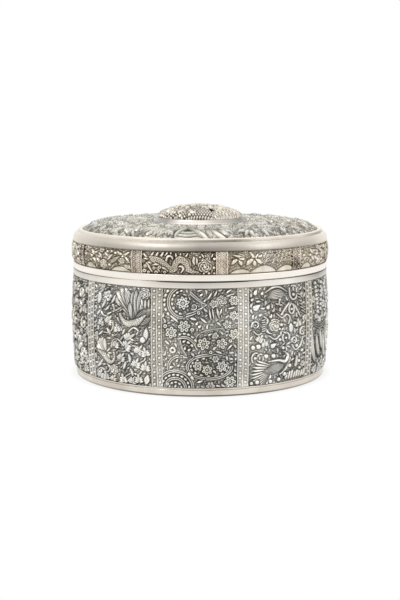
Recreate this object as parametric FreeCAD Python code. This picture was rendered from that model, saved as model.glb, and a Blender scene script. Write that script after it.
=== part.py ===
"""A round silver box with a lift-off lid: chased panels round the wall and round the lid, with a
wire-edged strip over each joint between them, plain bands at the edges and a domed boss on the lid.

Millimetres, +Z up. The origin is the middle of the foot's underside, and -Y is the front.
"""

import FreeCAD
import Part

import math
import os

ORIGIN = FreeCAD.Vector(0, 0, 0)
UP = FreeCAD.Vector(0, 0, 1)
FULL_TURN = 360.0
FRONT = -90.0

# Layout
panel_count = 10
lid_set_angle = -9.0
wall_strip_wire_count = 3
lid_strip_wire_count = 2

# Sheet, fits and edges
sheet_thickness = 0.8
lid_clearance = 0.3
edge_round = 0.45
cut_overrun = 2.0

# Radial stack, from the mouth outwards
mouth_radius = 70.6
lip_thickness = 0.8
lip_gap = 0.8
band_proud = 0.8
foot_proud = 0.1
foot_draft = 0.35
foot_width = 2.6

# Heights, from the table up
foot_height = 4.7
wall_height = 53.6
mouth_band_height = 3.6
rim_height = 3.8
lid_wall_height = 12.3

# Base plate and inner lip
base_recess = 1.2
base_thickness = 0.9
lip_stand = 5.6
lip_depth = 9.0

# Swelling of the chased panels beyond their edges
wall_bulge = 1.2
lid_wall_bulge = 0.9

# Strips over the joints between panels
strip_width = 6.4
strip_thickness = 0.6
wire_width = 0.7
wire_rise = 0.4

# Shoulder moulding of the lid: a quarter round, a groove and a bead
shoulder_setback = 2.8
quarter_height = 4.6
quarter_bulge = 1.0
groove_depth = 0.4
groove_width = 0.45
bead_width = 2.6
bead_rise = 0.9

# Chased top of the lid
top_edge_drop = 0.7
top_rise = 3.95
top_slope_width = 14.0
top_slope_bulge = 1.3
seat_rise = 0.3
seat_margin = 1.8

# Boss and its collar
boss_radius = 24.6
boss_rise = 7.0
boss_thickness = 0.9
collar_height = 2.7
collar_flare = 3.8
collar_wall = 1.6
collar_hollow = 0.7
vent_radius = 0.6
vent_place_share = 0.695
vent_bearing = 22.4

# Main forms of the relief, on the wall's panels and on the lid's top
form_rise = 0.8
form_sink = 0.2
form_margin = 0.5
ring_rise = 0.5
ring_width = 1.1
ring_depth = 4.0
roundel_radius = 8.7
blossom_radius = 3.2
leaf_width = 3.4
top_leaf_length = 8.5
top_leaf_width = 4.0
top_leaf_lean = 40.0
top_leaf_counts = (30, 24, 18)
top_ring_shares = (0.84, 0.55, 0.26)

# The wall's pictures. Places are shares of the field between two strips, from its lower left corner.
# Domes have a share of the blossom's radius, leaves run from root to tip and have a share of the leaf's
# width, and rings have shares of the roundel's radius, across and up.
picture_shares = {
    "blossoms": {
        "domes": ((0.28, 0.86, 1.1), (0.29, 0.63, 1), (0.12, 0.56, 1), (0.55, 0.455, 1.1),
                  (0.785, 0.455, 0.95),
                  (0.785, 0.88, 0.9), (0.92, 0.88, 0.75), (0.92, 0.73, 0.75), (0.91, 0.545, 0.8),
                  (0.45, 0.23, 0.85),
                  (0.6, 0.19, 0.9), (0.79, 0.225, 1), (0.91, 0.08, 0.85), (0.14, 0.39, 0.65),
                  (0.17, 0.07, 0.8)),
        "leaves": ((0.09, 0.68, 0.24, 0.73, 0.9), (0.63, 0.81, 0.66, 0.68, 0.8), (0.72, 0.82, 0.76, 0.7, 0.8),
                   (0.52, 0.84, 0.61, 0.93, 0.8), (0.58, 0.59, 0.82, 0.61, 0.6),
                   (0.36, 0.71, 0.47, 0.69, 0.7)),
        "rings": ((0.287, 0.865, 1, 1), (0.63, 0.22, 1.4, 0.8), (0.168, 0, 1.13, 1.13),
                  (0.34, 0.44, 0.65, 0.65)),
    },
    "phoenix": {
        "domes": ((0.9, 0.92, 0.95), (0.3, 0.88, 0.95), (0.4, 0.13, 0.9), (0.875, 0.47, 0.6)),
        "leaves": ((0.65, 0.77, 0.57, 0.95, 1.8), (0.73, 0.69, 0.72, 0.93, 0.9),
                   (0.81, 0.71, 0.82, 0.94, 0.9),
                   (0.81, 0.68, 0.95, 0.78, 1.3), (0.55, 0.74, 0.57, 0.67, 0.6), (0.56, 0.66, 0.74, 0.62, 1),
                   (0.75, 0.62, 0.92, 0.69, 1), (0.64, 0.46, 0.75, 0.52, 1.2), (0.61, 0.37, 0.69, 0.44, 1.2),
                   (0.42, 0.37, 0.47, 0.47, 1.2), (0.8, 0.33, 0.86, 0.41, 1.2), (0.93, 0.31, 0.91, 0.4, 1.1),
                   (0.76, 0.19, 0.8, 0.28, 1.1), (0.91, 0.16, 0.92, 0.26, 1.1), (0.53, 0.24, 0.58, 0.32, 1.1),
                   (0.43, 0.73, 0.39, 0.81, 1), (0.3, 0.6, 0.365, 0.685, 1.1), (0.48, 0.53, 0.46, 0.615, 1),
                   (0.16, 0.57, 0.18, 0.65, 1), (0.91, 0.52, 0.93, 0.61, 1), (0.1, 0.78, 0.12, 0.92, 1),
                   (0.22, 0.3, 0.1, 0.41, 1.2), (0.1, 0.29, 0.28, 0.22, 1), (0.31, 0.21, 0.41, 0.27, 0.7),
                   (0.1, 0.03, 0.14, 0.11, 1.1), (0.24, 0.03, 0.22, 0.11, 1.1), (0.56, 0.03, 0.54, 0.11, 1.1),
                   (0.69, 0.03, 0.74, 0.1, 1.1), (0.82, 0.04, 0.81, 0.13, 1), (0.92, 0.03, 0.94, 0.12, 1)),
        "rings": ((0.76, 0.55, 0.33, 0.33),),
    },
    "scrolls": {
        "domes": ((0.39, 0.605, 1.25), (0.14, 0.4, 0.5), (0.06, 0.39, 0.45), (0.265, 0.295, 0.45),
                  (0.38, 0.29, 0.45),
                  (0.675, 0.165, 0.45), (0.585, 0.085, 0.45), (0.14, 0.04, 0.45), (0.1, 0.95, 0.55)),
        "leaves": ((0.3, 0.88, 0.56, 0.89, 1.6), (0.51, 0.71, 0.67, 0.81, 0.65), (0.7, 0.8, 0.86, 0.67, 0.65),
                   (0.07, 0.775, 0.17, 0.83, 0.9), (0.27, 0.77, 0.32, 0.82, 0.8),
                   (0.67, 0.5, 0.67, 0.61, 0.95),
                   (0.34, 0.38, 0.43, 0.42, 0.9), (0.25, 0.68, 0.27, 0.53, 0.7), (0.05, 0.15, 0.22, 0.18, 1),
                   (0.13, 0.07, 0.3, 0.1, 1), (0.32, 0.14, 0.57, 0.18, 1.5), (0.34, 0.24, 0.56, 0.22, 0.8),
                   (0.58, 0.215, 0.63, 0.27, 0.7), (0.79, 0.14, 0.81, 0.27, 0.7),
                   (0.83, 0.56, 0.81, 0.64, 1.1),
                   (0.14, 0.45, 0.2, 0.53, 1.1), (0.24, 0.4, 0.22, 0.48, 1), (0.46, 0.8, 0.48, 0.86, 0.9)),
        "rings": ((0.1, 0.285, 0.33, 0.33), (0.585, 0.465, 0.3, 0.3), (0.73, 0.9, 0.32, 0.32)),
    },
    "swags": {
        "domes": ((0.86, 0.42, 1), (0.4, 0.73, 0.8)),
        "leaves": ((0.05, 0.91, 0.18, 0.86, 0.6), (0.2, 0.85, 0.33, 0.79, 0.6), (0.1, 0.66, 0.28, 0.63, 0.6),
                   (0.32, 0.63, 0.55, 0.63, 0.6), (0.04, 0.57, 0.2, 0.53, 0.6), (0.24, 0.52, 0.4, 0.52, 0.6),
                   (0.46, 0.54, 0.68, 0.63, 0.6), (0.14, 0.45, 0.06, 0.2, 0.8), (0.18, 0.44, 0.17, 0.16, 0.8),
                   (0.22, 0.45, 0.3, 0.18, 0.8), (0.56, 0.45, 0.48, 0.2, 0.8), (0.62, 0.44, 0.63, 0.17, 0.8),
                   (0.67, 0.45, 0.77, 0.2, 0.8), (0.62, 0.79, 0.76, 0.8, 1), (0.7, 0.83, 0.72, 0.94, 1.2),
                   (0.8, 0.81, 0.93, 0.9, 0.9), (0.1, 0.03, 0.15, 0.1, 1), (0.3, 0.03, 0.29, 0.11, 1),
                   (0.52, 0.03, 0.55, 0.11, 1), (0.74, 0.03, 0.7, 0.11, 1), (0.92, 0.03, 0.92, 0.11, 1)),
        "rings": ((0.88, 0.2, 0.3, 0.3),),
    },
    "leaf_scrolls": {
        "domes": ((0.14, 0.54, 0.9), (0.62, 0.9, 0.8)),
        "leaves": ((0.28, 0.62, 0.46, 0.62, 1.1), (0.35, 0.66, 0.33, 0.78, 1.4), (0.26, 0.65, 0.1, 0.71, 1),
                   (0.34, 0.18, 0.48, 0.18, 1), (0.4, 0.22, 0.38, 0.31, 1.2), (0.5, 0.2, 0.62, 0.26, 1),
                   (0.9, 0.66, 0.92, 0.75, 1.1), (0.88, 0.36, 0.93, 0.44, 1.1), (0.12, 0.86, 0.21, 0.92, 1.1),
                   (0.9, 0.04, 0.88, 0.13, 1.1), (0.12, 0.04, 0.14, 0.12, 1.2), (0.6, 0.04, 0.66, 0.11, 1.1)),
        "rings": ((0.86, 0.54, 0.38, 0.38), (0.84, 0.24, 0.4, 0.4), (0.14, 0.4, 0.33, 0.33),
                  (0.8, 0.86, 0.33, 0.33)),
    },
}
wall_pictures = ("blossoms", "scrolls", "swags", "phoenix", "leaf_scrolls",
                 "blossoms", "phoenix", "scrolls", "leaf_scrolls", "phoenix")

# Places worked out from the sizes above
panel_angle = FULL_TURN / panel_count
lip_radius = mouth_radius + lip_thickness
lid_bore_radius = lip_radius + lid_clearance
wall_bore_radius = lip_radius + lip_gap
wall_radius = wall_bore_radius + sheet_thickness
band_radius = wall_radius + band_proud
field_width = math.radians(panel_angle) * wall_radius - strip_width
form_spread = 1 + form_sink / form_rise
foot_top_radius = wall_radius + foot_proud
foot_radius = foot_top_radius - foot_draft
foot_bore_radius = foot_radius - foot_width

mouth_band_z = foot_height + wall_height
seam_z = mouth_band_z + mouth_band_height
lid_wall_z = seam_z + rim_height
shoulder_z = lid_wall_z + lid_wall_height
quarter_z = shoulder_z + quarter_height
bead_z = quarter_z + groove_width
shoulder_top_z = bead_z + bead_rise
top_edge_z = shoulder_top_z - top_edge_drop
plateau_z = top_edge_z + top_rise
seat_z = plateau_z + seat_rise
boss_z = seat_z + collar_height

quarter_radius = band_radius - shoulder_setback
bead_radius = quarter_radius - groove_depth
top_radius = bead_radius - bead_width
plateau_radius = top_radius - top_slope_width
collar_foot_radius = boss_radius + collar_flare
seat_radius = collar_foot_radius + seat_margin


def at(radius, z):
    """A point of a turned piece's half section."""
    return FreeCAD.Vector(radius, 0, z)


def line(start, end):
    return Part.LineSegment(start, end).toShape()


def arc(start, end, bulge):
    """An arc that stands bulge away from its chord, on the right of the way it runs."""
    chord = end.sub(start)
    right = FreeCAD.Vector(chord.z, 0, -chord.x).normalize()
    middle = start.add(end).multiply(1 / 2).add(right.multiply(bulge))
    return Part.Arc(start, middle, end).toShape()


def half_section(*edges):
    return Part.Face(Part.Wire(edges))


def polygon_section(*points):
    return half_section(*[line(a, b) for a, b in zip(points, points[1:] + points[:1])])


def turned(section):
    """The full ring or disc that a half section sweeps."""
    return section.revolve(ORIGIN, UP, FULL_TURN)


def sector(section, start_angle, sweep):
    """The part of a turned piece from start_angle over sweep degrees."""
    piece = section.revolve(ORIGIN, UP, sweep)
    piece.rotate(ORIGIN, UP, start_angle)
    return piece


def round_edges(solid, circle_radius, z):
    """Rounds the circular edges of that radius at height z."""
    def matches(edge):
        circle = edge.Curve
        if not isinstance(circle, Part.Circle):
            return False
        off_by = max(abs(circle.Radius - circle_radius), abs(circle.Center.z - z))
        return off_by < edge_round / 2

    return solid.makeFillet(edge_round, [edge for edge in solid.Edges if matches(edge)])


def band(inner_radius, outer_radius, low_z, height):
    """A plain band whose two outer edges are rounded."""
    top_z = low_z + height
    solid = turned(polygon_section(
        at(inner_radius, low_z), at(outer_radius, low_z), at(outer_radius, top_z), at(inner_radius, top_z)))
    for z in (low_z, top_z):
        solid = round_edges(solid, outer_radius, z)
    return solid


def swollen_section(low_z, height, bulge, inner_radius, thickness):
    """Sheet in half section, swollen between its upper and lower edges."""
    top_z = low_z + height
    outer_radius = inner_radius + thickness
    return half_section(
        arc(at(inner_radius, top_z), at(inner_radius, low_z), -bulge),
        line(at(inner_radius, low_z), at(outer_radius, low_z)),
        arc(at(outer_radius, low_z), at(outer_radius, top_z), bulge),
        line(at(outer_radius, top_z), at(inner_radius, top_z)))


def joint_angle(index, set_angle):
    """Where panel number index begins, counted from the front panel."""
    return FRONT + set_angle + (index - 1 / 2) * panel_angle


def panel(index, set_angle, low_z, height, bulge):
    section = swollen_section(low_z, height, bulge, wall_bore_radius, sheet_thickness)
    return sector(section, joint_angle(index, set_angle), panel_angle)


def strip(index, set_angle, low_z, height, bulge, wire_count):
    """A strip over the joint at the start of a panel, with wires spaced evenly from edge to edge."""
    strip_angle = math.degrees(strip_width / wall_radius)
    wire_angle = math.degrees(wire_width / wall_radius)
    start = joint_angle(index, set_angle) - strip_angle / 2
    step = (strip_angle - wire_angle) / (wire_count - 1)
    wire = swollen_section(low_z, height, bulge, wall_radius, strip_thickness + wire_rise)
    solid = sector(swollen_section(low_z, height, bulge, wall_radius, strip_thickness), start, strip_angle)
    for place in range(wire_count):
        solid = solid.fuse(sector(wire, start + place * step, wire_angle))
    return solid.removeSplitter()


def outward(angle):
    """The level direction away from the axis, at an angle in degrees."""
    turn = math.radians(angle)
    return FreeCAD.Vector(math.cos(turn), math.sin(turn), 0)


def wall_spot(across, up, rise):
    """A place over the front panel's field, measured from its lower left corner and up from its outside."""
    radius = wall_radius + wall_bulge * (1 - (2 * up / wall_height - 1) ** 2) + rise
    return wall_facing(across) * radius + UP * (foot_height + up)


def wall_facing(across):
    return outward(FRONT + math.degrees((across - field_width / 2) / wall_radius))


def dome_form(across_share, up_share, size_share):
    """A cap of a ball, which shows as a blossom's round and has its flat under the surface."""
    across, up = field_width * across_share, wall_height * up_share
    ball = ((blossom_radius * size_share) ** 2 + form_rise ** 2) / (2 * form_rise)
    flat_angle = math.degrees(math.asin(1 - (form_rise + form_sink) / ball))
    return Part.makeSphere(ball, wall_spot(across, up, form_rise - ball), wall_facing(across),
                           flat_angle, FULL_TURN / 4, FULL_TURN)


def ridged(root, right, tip, left, crest):
    """A leaf of four flat faces, from the four corners of its base to its crest."""
    sides = ((root, right, crest), (right, tip, crest), (tip, left, crest), (left, root, crest),
             (root, tip, right), (root, left, tip))
    faces = [Part.Face(Part.makePolygon((*corners, corners[0]))) for corners in sides]
    return Part.makeSolid(Part.makeShell(faces))


def leaf_form(root_across_share, root_up_share, tip_across_share, tip_up_share, width_share):
    """A leaf, whose base is under the surface and so much wider than what shows."""
    across = field_width * (root_across_share + tip_across_share) / 2
    up = wall_height * (root_up_share + tip_up_share) / 2
    along = FreeCAD.Vector(field_width * (tip_across_share - root_across_share),
                           wall_height * (tip_up_share - root_up_share), 0) * (form_spread / 2)
    aside = along.cross(UP).normalize() * (leaf_width * width_share * form_spread / 2)
    base = [wall_spot(across + offset.x, up + offset.y, -form_sink)
            for offset in (-along, aside, along, -aside)]
    return ridged(*base, wall_spot(across, up, form_rise))


def ring_form(across_share, up_share, wide_share, high_share):
    """An upright oval tube through the panel, which a skin cuts down to a wire."""
    def oval(inset):
        outline = Part.Ellipse(ORIGIN, roundel_radius * wide_share - inset,
                               roundel_radius * high_share - inset)
        return half_section(outline.toShape()).extrude(UP * (2 * ring_depth))

    across, up = field_width * across_share, wall_height * up_share
    away = wall_facing(across)
    tube = oval(0).cut(oval(ring_width))
    tube.Placement = FreeCAD.Placement(wall_spot(across, up, -ring_depth),
                                       FreeCAD.Rotation(UP.cross(away), UP, away))
    return tube


def ring_skin():
    """A layer over the front panel's field, from the middle of its sheet to the height of a ring."""
    section = swollen_section(foot_height + form_margin, wall_height - 2 * form_margin, wall_bulge,
                              wall_radius - sheet_thickness / 2, sheet_thickness / 2 + ring_rise)
    sweep = math.degrees((field_width - 2 * form_margin) / wall_radius)
    return sector(section, FRONT - sweep / 2, sweep)


def picture_panel(domes, leaves, rings):
    """The front panel with the main forms of a picture on it."""
    skin = ring_skin()
    forms = [dome_form(*shares) for shares in domes]
    forms += [leaf_form(*shares) for shares in leaves]
    forms += [ring_form(*shares).common(skin) for shares in rings]
    return panel(0, 0, foot_height, wall_height, wall_bulge).fuse(forms)


def foot_band():
    """The plain foot: a tapered band, rounded where it meets the table."""
    solid = turned(polygon_section(
        at(foot_bore_radius, 0), at(foot_radius, 0),
        at(foot_top_radius, foot_height), at(foot_bore_radius, foot_height)))
    return round_edges(solid, foot_radius, 0)


def base_plate():
    """The floor of the box, let into the foot above the table."""
    return Part.makeCylinder(foot_bore_radius, base_thickness, FreeCAD.Vector(0, 0, base_recess))


def inner_lip():
    """The upright lip inside the mouth, which the lid slips over."""
    low_z = seam_z - lip_depth
    top_z = seam_z + lip_stand
    return turned(polygon_section(
        at(mouth_radius, low_z), at(lip_radius, low_z), at(lip_radius, top_z), at(mouth_radius, top_z)))


def shoulder_moulding():
    """The lid's edge: a quarter round that leans in, a groove, and a bead round the chased top."""
    foot_inside = at(wall_bore_radius, shoulder_z)
    foot_outside = at(band_radius, shoulder_z)
    quarter_end = at(quarter_radius, quarter_z)
    groove = at(bead_radius, quarter_z)
    bead_outside = at(bead_radius, bead_z)
    bead_inside = at(top_radius, bead_z)
    under_top = at(top_radius, top_edge_z - sheet_thickness)
    return turned(half_section(
        line(foot_inside, foot_outside),
        arc(foot_outside, quarter_end, quarter_bulge),
        line(quarter_end, groove),
        line(groove, bead_outside),
        arc(bead_outside, bead_inside, bead_rise),
        line(bead_inside, under_top),
        line(under_top, foot_inside)))


def lid_top_sheet():
    """The sheet of the lid's top: a slope, a level field and a flat seat for the boss."""
    def corners(drop):
        return (at(top_radius, top_edge_z - drop), at(plateau_radius, plateau_z - drop),
                at(seat_radius, seat_z - drop), at(0, seat_z - drop))

    edge, shelf, seat, middle = corners(0)
    low_edge, low_shelf, low_seat, low_middle = corners(sheet_thickness)
    return turned(half_section(
        arc(edge, shelf, top_slope_bulge),
        line(shelf, seat),
        line(seat, middle),
        line(middle, low_middle),
        line(low_middle, low_seat),
        line(low_seat, low_shelf),
        arc(low_shelf, low_edge, -top_slope_bulge),
        line(low_edge, edge)))


def top_spot(radius, turn, rise):
    """A place over the lid's top, turned so many degrees from the front."""
    slope_share = max(0, (radius - plateau_radius) / (top_radius - plateau_radius))
    seat_share = max(0, (plateau_radius - radius) / (plateau_radius - seat_radius))
    fall = (plateau_z - top_edge_z) * slope_share - (seat_z - plateau_z) * seat_share
    bulge = 4 * top_slope_bulge * slope_share * (1 - slope_share)
    return outward(FRONT + turn) * radius + UP * (plateau_z - fall + bulge + rise)


def top_leaf(radius, turn, lean):
    """A leaf on the lid's top, which leans so many degrees from the way out."""
    along = outward(lean) * (top_leaf_length * form_spread / 2)
    aside = outward(lean + FULL_TURN / 4) * (top_leaf_width * form_spread / 2)
    base = [top_spot(radius + offset.x, turn + math.degrees(offset.y / radius), -form_sink)
            for offset in (-along, -aside, along, aside)]
    return ridged(*base, top_spot(radius, turn, form_rise))


def lid_top():
    """The sheet with rings of leaves, which lean to either side in turn."""
    leaves = []
    for count, ring_share in zip(top_leaf_counts, top_ring_shares):
        radius = seat_radius + (top_radius - seat_radius) * ring_share
        for place in range(count):
            lean = top_leaf_lean if place % 2 else -top_leaf_lean
            leaves.append(top_leaf(radius, place * FULL_TURN / count, lean))
    return lid_top_sheet().fuse(leaves)


def boss_collar():
    """The bright hollowed collar that carries the boss."""
    inner_radius = boss_radius - collar_wall
    foot_inside, foot_outside = at(inner_radius, seat_z), at(collar_foot_radius, seat_z)
    top_outside, top_inside = at(boss_radius, boss_z), at(inner_radius, boss_z)
    return turned(half_section(
        line(foot_inside, foot_outside),
        arc(foot_outside, top_outside, -collar_hollow),
        line(top_outside, top_inside),
        line(top_inside, foot_inside)))


def cap_arc(radius, rise):
    """The quarter ellipse of a full dome on the boss's level, from its rim to its crown."""
    oval = Part.Ellipse(at(radius, boss_z), at(0, boss_z + rise), at(0, boss_z))
    return Part.ArcOfEllipse(oval, 0, math.pi / 2).toShape()


def boss():
    """The hollow domed boss, with the small vent that lets its air out."""
    inner_radius = boss_radius - boss_thickness
    inner_rise = boss_rise - boss_thickness
    dome = turned(half_section(
        cap_arc(boss_radius, boss_rise),
        line(at(0, boss_z + boss_rise), at(0, boss_z + inner_rise)),
        cap_arc(inner_radius, inner_rise),
        line(at(inner_radius, boss_z), at(boss_radius, boss_z))))
    bearing = math.radians(FRONT + vent_bearing)
    vent_out = boss_radius * vent_place_share
    vent_foot = FreeCAD.Vector(vent_out * math.cos(bearing), vent_out * math.sin(bearing), boss_z)
    return dome.cut(Part.makeCylinder(vent_radius, boss_rise + cut_overrun, vent_foot))


def build():
    """Every piece of the box, by the name of its node."""
    pieces = {
        "foot_band": foot_band(),
        "base_plate": base_plate(),
        "mouth_band": band(lip_radius, band_radius, mouth_band_z, mouth_band_height),
        "inner_lip": inner_lip(),
        "lid_rim_band": band(lid_bore_radius, band_radius, seam_z, rim_height),
        "shoulder_moulding": shoulder_moulding(),
        "lid_top": lid_top(),
        "boss_collar": boss_collar(),
        "boss": boss(),
    }
    pictures = {name: picture_panel(**forms) for name, forms in picture_shares.items()}
    wall = (0, foot_height, wall_height, wall_bulge)
    lid_wall = (lid_set_angle, lid_wall_z, lid_wall_height, lid_wall_bulge)
    for index in range(panel_count):
        number = f"{index + 1:02d}"
        picture = pictures[wall_pictures[index]]
        pieces["wall_panel_" + number] = picture.rotated(ORIGIN, UP, index * panel_angle)
        pieces["wall_strip_" + number] = strip(index, *wall, wall_strip_wire_count)
        pieces["lid_panel_" + number] = panel(index, *lid_wall)
        pieces["lid_strip_" + number] = strip(index, *lid_wall, lid_strip_wire_count)
    return pieces


def main():
    os.makedirs("parts", exist_ok=True)
    volume = 0
    for name, shape in build().items():
        shape.exportStep(f"parts/{name}.step")
        volume += shape.Volume
        print(f"{name}: {len(shape.Solids)} solid, valid {shape.isValid()}, {shape.Volume:.1f} mm3")
    print(f"all pieces: {volume:.0f} mm3")


main()
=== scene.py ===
"""The silver box, dressed: chased relief on every panel, beaded strips, turned bands and tarnished silver,
with painted shade.

Relief is drawn in millimetres as height maps over flat fields, then wrapped round the box as closed meshes.
"""

import math

import bpy
import numpy as np
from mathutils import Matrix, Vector


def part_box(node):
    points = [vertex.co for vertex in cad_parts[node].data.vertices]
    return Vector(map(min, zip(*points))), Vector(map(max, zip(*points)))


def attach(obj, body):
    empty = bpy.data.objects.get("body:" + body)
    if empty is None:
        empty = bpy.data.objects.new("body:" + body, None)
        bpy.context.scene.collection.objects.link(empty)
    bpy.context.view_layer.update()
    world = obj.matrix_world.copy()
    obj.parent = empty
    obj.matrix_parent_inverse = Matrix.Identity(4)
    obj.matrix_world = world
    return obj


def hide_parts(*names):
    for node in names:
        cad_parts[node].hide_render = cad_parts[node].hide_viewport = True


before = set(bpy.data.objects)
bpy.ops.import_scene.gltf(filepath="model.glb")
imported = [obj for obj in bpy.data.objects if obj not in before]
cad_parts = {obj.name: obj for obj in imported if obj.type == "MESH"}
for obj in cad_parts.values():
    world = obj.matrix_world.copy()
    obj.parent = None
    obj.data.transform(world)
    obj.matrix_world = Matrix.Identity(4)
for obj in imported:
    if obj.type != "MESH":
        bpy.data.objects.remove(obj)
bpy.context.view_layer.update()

MM = 0.001
PANELS = 10
PANEL_TURN = 2 * math.pi / PANELS
FRONT = -math.pi / 2
LID_SET = math.radians(-9)


def z_range(node):
    """The lowest and highest level of a node, in millimetres."""
    low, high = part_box(node)
    return low.z / MM, high.z / MM


def reach(node):
    """How far a turned node reaches from the axis, in millimetres."""
    low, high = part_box(node)
    return max(high.x, high.y, -low.x, -low.y) / MM


# Sizes read from the frame, in millimetres
BAND_RADIUS = reach("mouth_band")
FOOT_TOP_RADIUS = reach("foot_band")
BASE_RADIUS = reach("base_plate")
LIP_RADIUS = reach("inner_lip")
TOP_RADIUS = reach("lid_top")
BOSS_RADIUS = reach("boss")
COLLAR_RADIUS = reach("boss_collar")
FOOT_LOW, FOOT_HIGH = z_range("foot_band")
BASE_LOW, BASE_HIGH = z_range("base_plate")
MOUTH_LOW, SEAM = z_range("mouth_band")
LIP_LOW, LIP_HIGH = z_range("inner_lip")
RIM_HIGH = z_range("lid_rim_band")[1]
SHOULDER_LOW, SHOULDER_HIGH = z_range("shoulder_moulding")
TOP_LOW = z_range("lid_top")[0]
SEAT = z_range("boss_collar")[0]
BOSS_LOW, BOSS_HIGH = z_range("boss")

# Sizes that the construction repeats, in millimetres
BAND_PROUD = 0.8
SHEET = 0.8
LID_CLEARANCE = 0.3
FOOT_DRAFT = 0.35
FOOT_WIDTH = 2.6
LIP_THICKNESS = 0.8
WALL_RADIUS = BAND_RADIUS - BAND_PROUD
WALL_SWELL = 1.2
LID_SWELL = 0.9
STRIP_WIDTH = 6.4
SEAT_RADIUS = COLLAR_RADIUS + 1.8
PLATEAU_RADIUS = TOP_RADIUS - 14.0
PLATEAU = SEAT - 0.3
TOP_EDGE = TOP_LOW + SHEET
BOSS_SHEET = 0.9
COLLAR_WALL = 1.6
COLLAR_HOLLOW = 0.7
FOOT_LINE = 1.0
QUARTER_SETBACK = 2.8
QUARTER_HEIGHT = 4.6
GROOVE_DEPTH = 0.4
GROOVE_WIDTH = 0.45

# Relief, in millimetres
STEP = 0.22
WALL_SINK = 0.25
LID_SINK = 0.55
TOP_SINK = 0.3
BOSS_SINK = 0.6
MOAT = 0.42
WIDE_MOAT = 0.7
LID_MOAT = 0.55
LIFT = 1.35
OUTSIDE = -9.0
END_ROUND = 0.12
RIB_WIDTH = 0.20
VEIN_PITCH = 0.95
VEIN_SLOPE = 1.1
LINE_DEPTH = 0.8

# Tarnish and painted shade of the relief: the levels that it runs between, and how wide and deep a hollow is,
# in millimetres
GROUND_LEVEL = -0.05
BRIGHT_LEVEL = 1.15
HOLLOW_REACH = 0.7
HOLLOW_DEPTH = 0.6
GROUND_DARK = 0.72
HOLLOW_DARK = 0.6


def dome(t):
    """A quarter-round rise from 0 to 1."""
    t = np.clip(t, 0, 1)
    return np.sqrt(t * (2 - t))


def ramp(value, start, end):
    """A smooth step from 0 at start to 1 at end."""
    t = np.clip((value - start) / (end - start), 0, 1)
    return t * t * (3 - 2 * t)


def blurred(field, reach_cells):
    """A height map averaged twice over a square, which is close to a round blur."""
    for _ in range(2):
        for axis in (0, 1):
            pad = [(0, 0), (0, 0)]
            pad[axis] = (reach_cells + 1, reach_cells)
            sums = np.cumsum(np.pad(field, pad, mode="edge"), axis=axis)
            span = 2 * reach_cells + 1
            upper = np.take(sums, range(span, sums.shape[axis]), axis=axis)
            lower = np.take(sums, range(0, sums.shape[axis] - span), axis=axis)
            field = (upper - lower) / span
    return field


class Relief:
    """A height map in millimetres over a flat field: x to the right and y up from the lower left corner."""

    def __init__(self, width, height, margin=0.0, step=STEP):
        self.margin = margin
        self.field = np.array([width, height])
        self.x = np.linspace(-margin, width + margin, round((width + 2 * margin) / step) + 1)
        self.y = np.linspace(0, height, round(height / step) + 1)
        self.h = np.zeros((len(self.y), len(self.x)))
        self.taken = np.zeros(self.h.shape, bool)
        self.step = step
        self.moat = MOAT

    def at(self, across, up):
        """A place given in hundredths of the field."""
        return self.field[0] * across / 100, self.field[1] * up / 100

    def around(self, x, y, size):
        """The cells within size of a point, and their places from that point."""
        i, i_end = np.searchsorted(self.x, (x - size, x + size))
        j, j_end = np.searchsorted(self.y, (y - size, y + size))
        u, v = np.meshgrid(self.x[i:i_end] - x, self.y[j:j_end] - y)
        return np.s_[j:j_end, i:i_end], u, v

    def lay(self, cut, inside, form, moat=None):
        """Lays a form over the map. Inside is the distance in from its outline; a moat is cut round it."""
        moat = moat or self.moat
        under = self.h[cut] * np.clip(-inside / moat, 0, 1)
        self.h[cut] = np.where(inside > 0, form, under)
        self.taken[cut] |= inside > -moat / 2

    def is_free(self, x, y, size):
        """Whether nothing stands within size of a point of the field."""
        edge = size * 0.55
        if not (edge < x < self.field[0] - edge and edge < y < self.field[1] - edge):
            return False
        cut, u, v = self.around(x, y, size)
        return not np.any(self.taken[cut][np.hypot(u, v) < size])

    def tarnish_and_shade(self):
        """How dark each cell is, as patina and as painted shade: the ground and the hollows are, the tops
        aren't.
        """
        ground = 1 - ramp(self.h, GROUND_LEVEL, BRIGHT_LEVEL)
        level_round = blurred(self.h, max(2, round(HOLLOW_REACH / self.step)))
        hollow = np.clip((level_round - self.h) / HOLLOW_DEPTH, 0, 1)
        return np.clip(GROUND_DARK * ground + HOLLOW_DARK * hollow, 0, 1)


def along_bend(u, v, angle, length, bend):
    """Places along and across an axis that starts at an angle and turns evenly by bend over its length."""
    c, s = math.cos(angle), math.sin(angle)
    along, across = u * c + v * s, v * c - u * s
    if abs(bend) < 0.02:
        return along, across
    radius = length / bend
    turned = np.arctan2(along * np.sign(bend), (radius - across) * np.sign(bend))
    return turned * radius, radius - np.sign(bend) * np.hypot(along, radius - across)


# How wide a blade is along its length, as shares
LEAF = lambda t: np.sin(np.pi * t) ** 0.85
DROP = lambda t: np.sin(np.pi * t ** 0.62) ** 0.9
TAPER = lambda t: np.sqrt(np.clip(1 - t, 0, 1)) * ramp(t, -0.12, 0.12)
PLUME = lambda t: 0.35 * (1 - t) + np.sin(np.pi * t ** 1.6) ** 0.7
EVEN = lambda t: np.sqrt(np.clip(1 - (2 * t - 1) ** 8, 0, 1))


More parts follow.
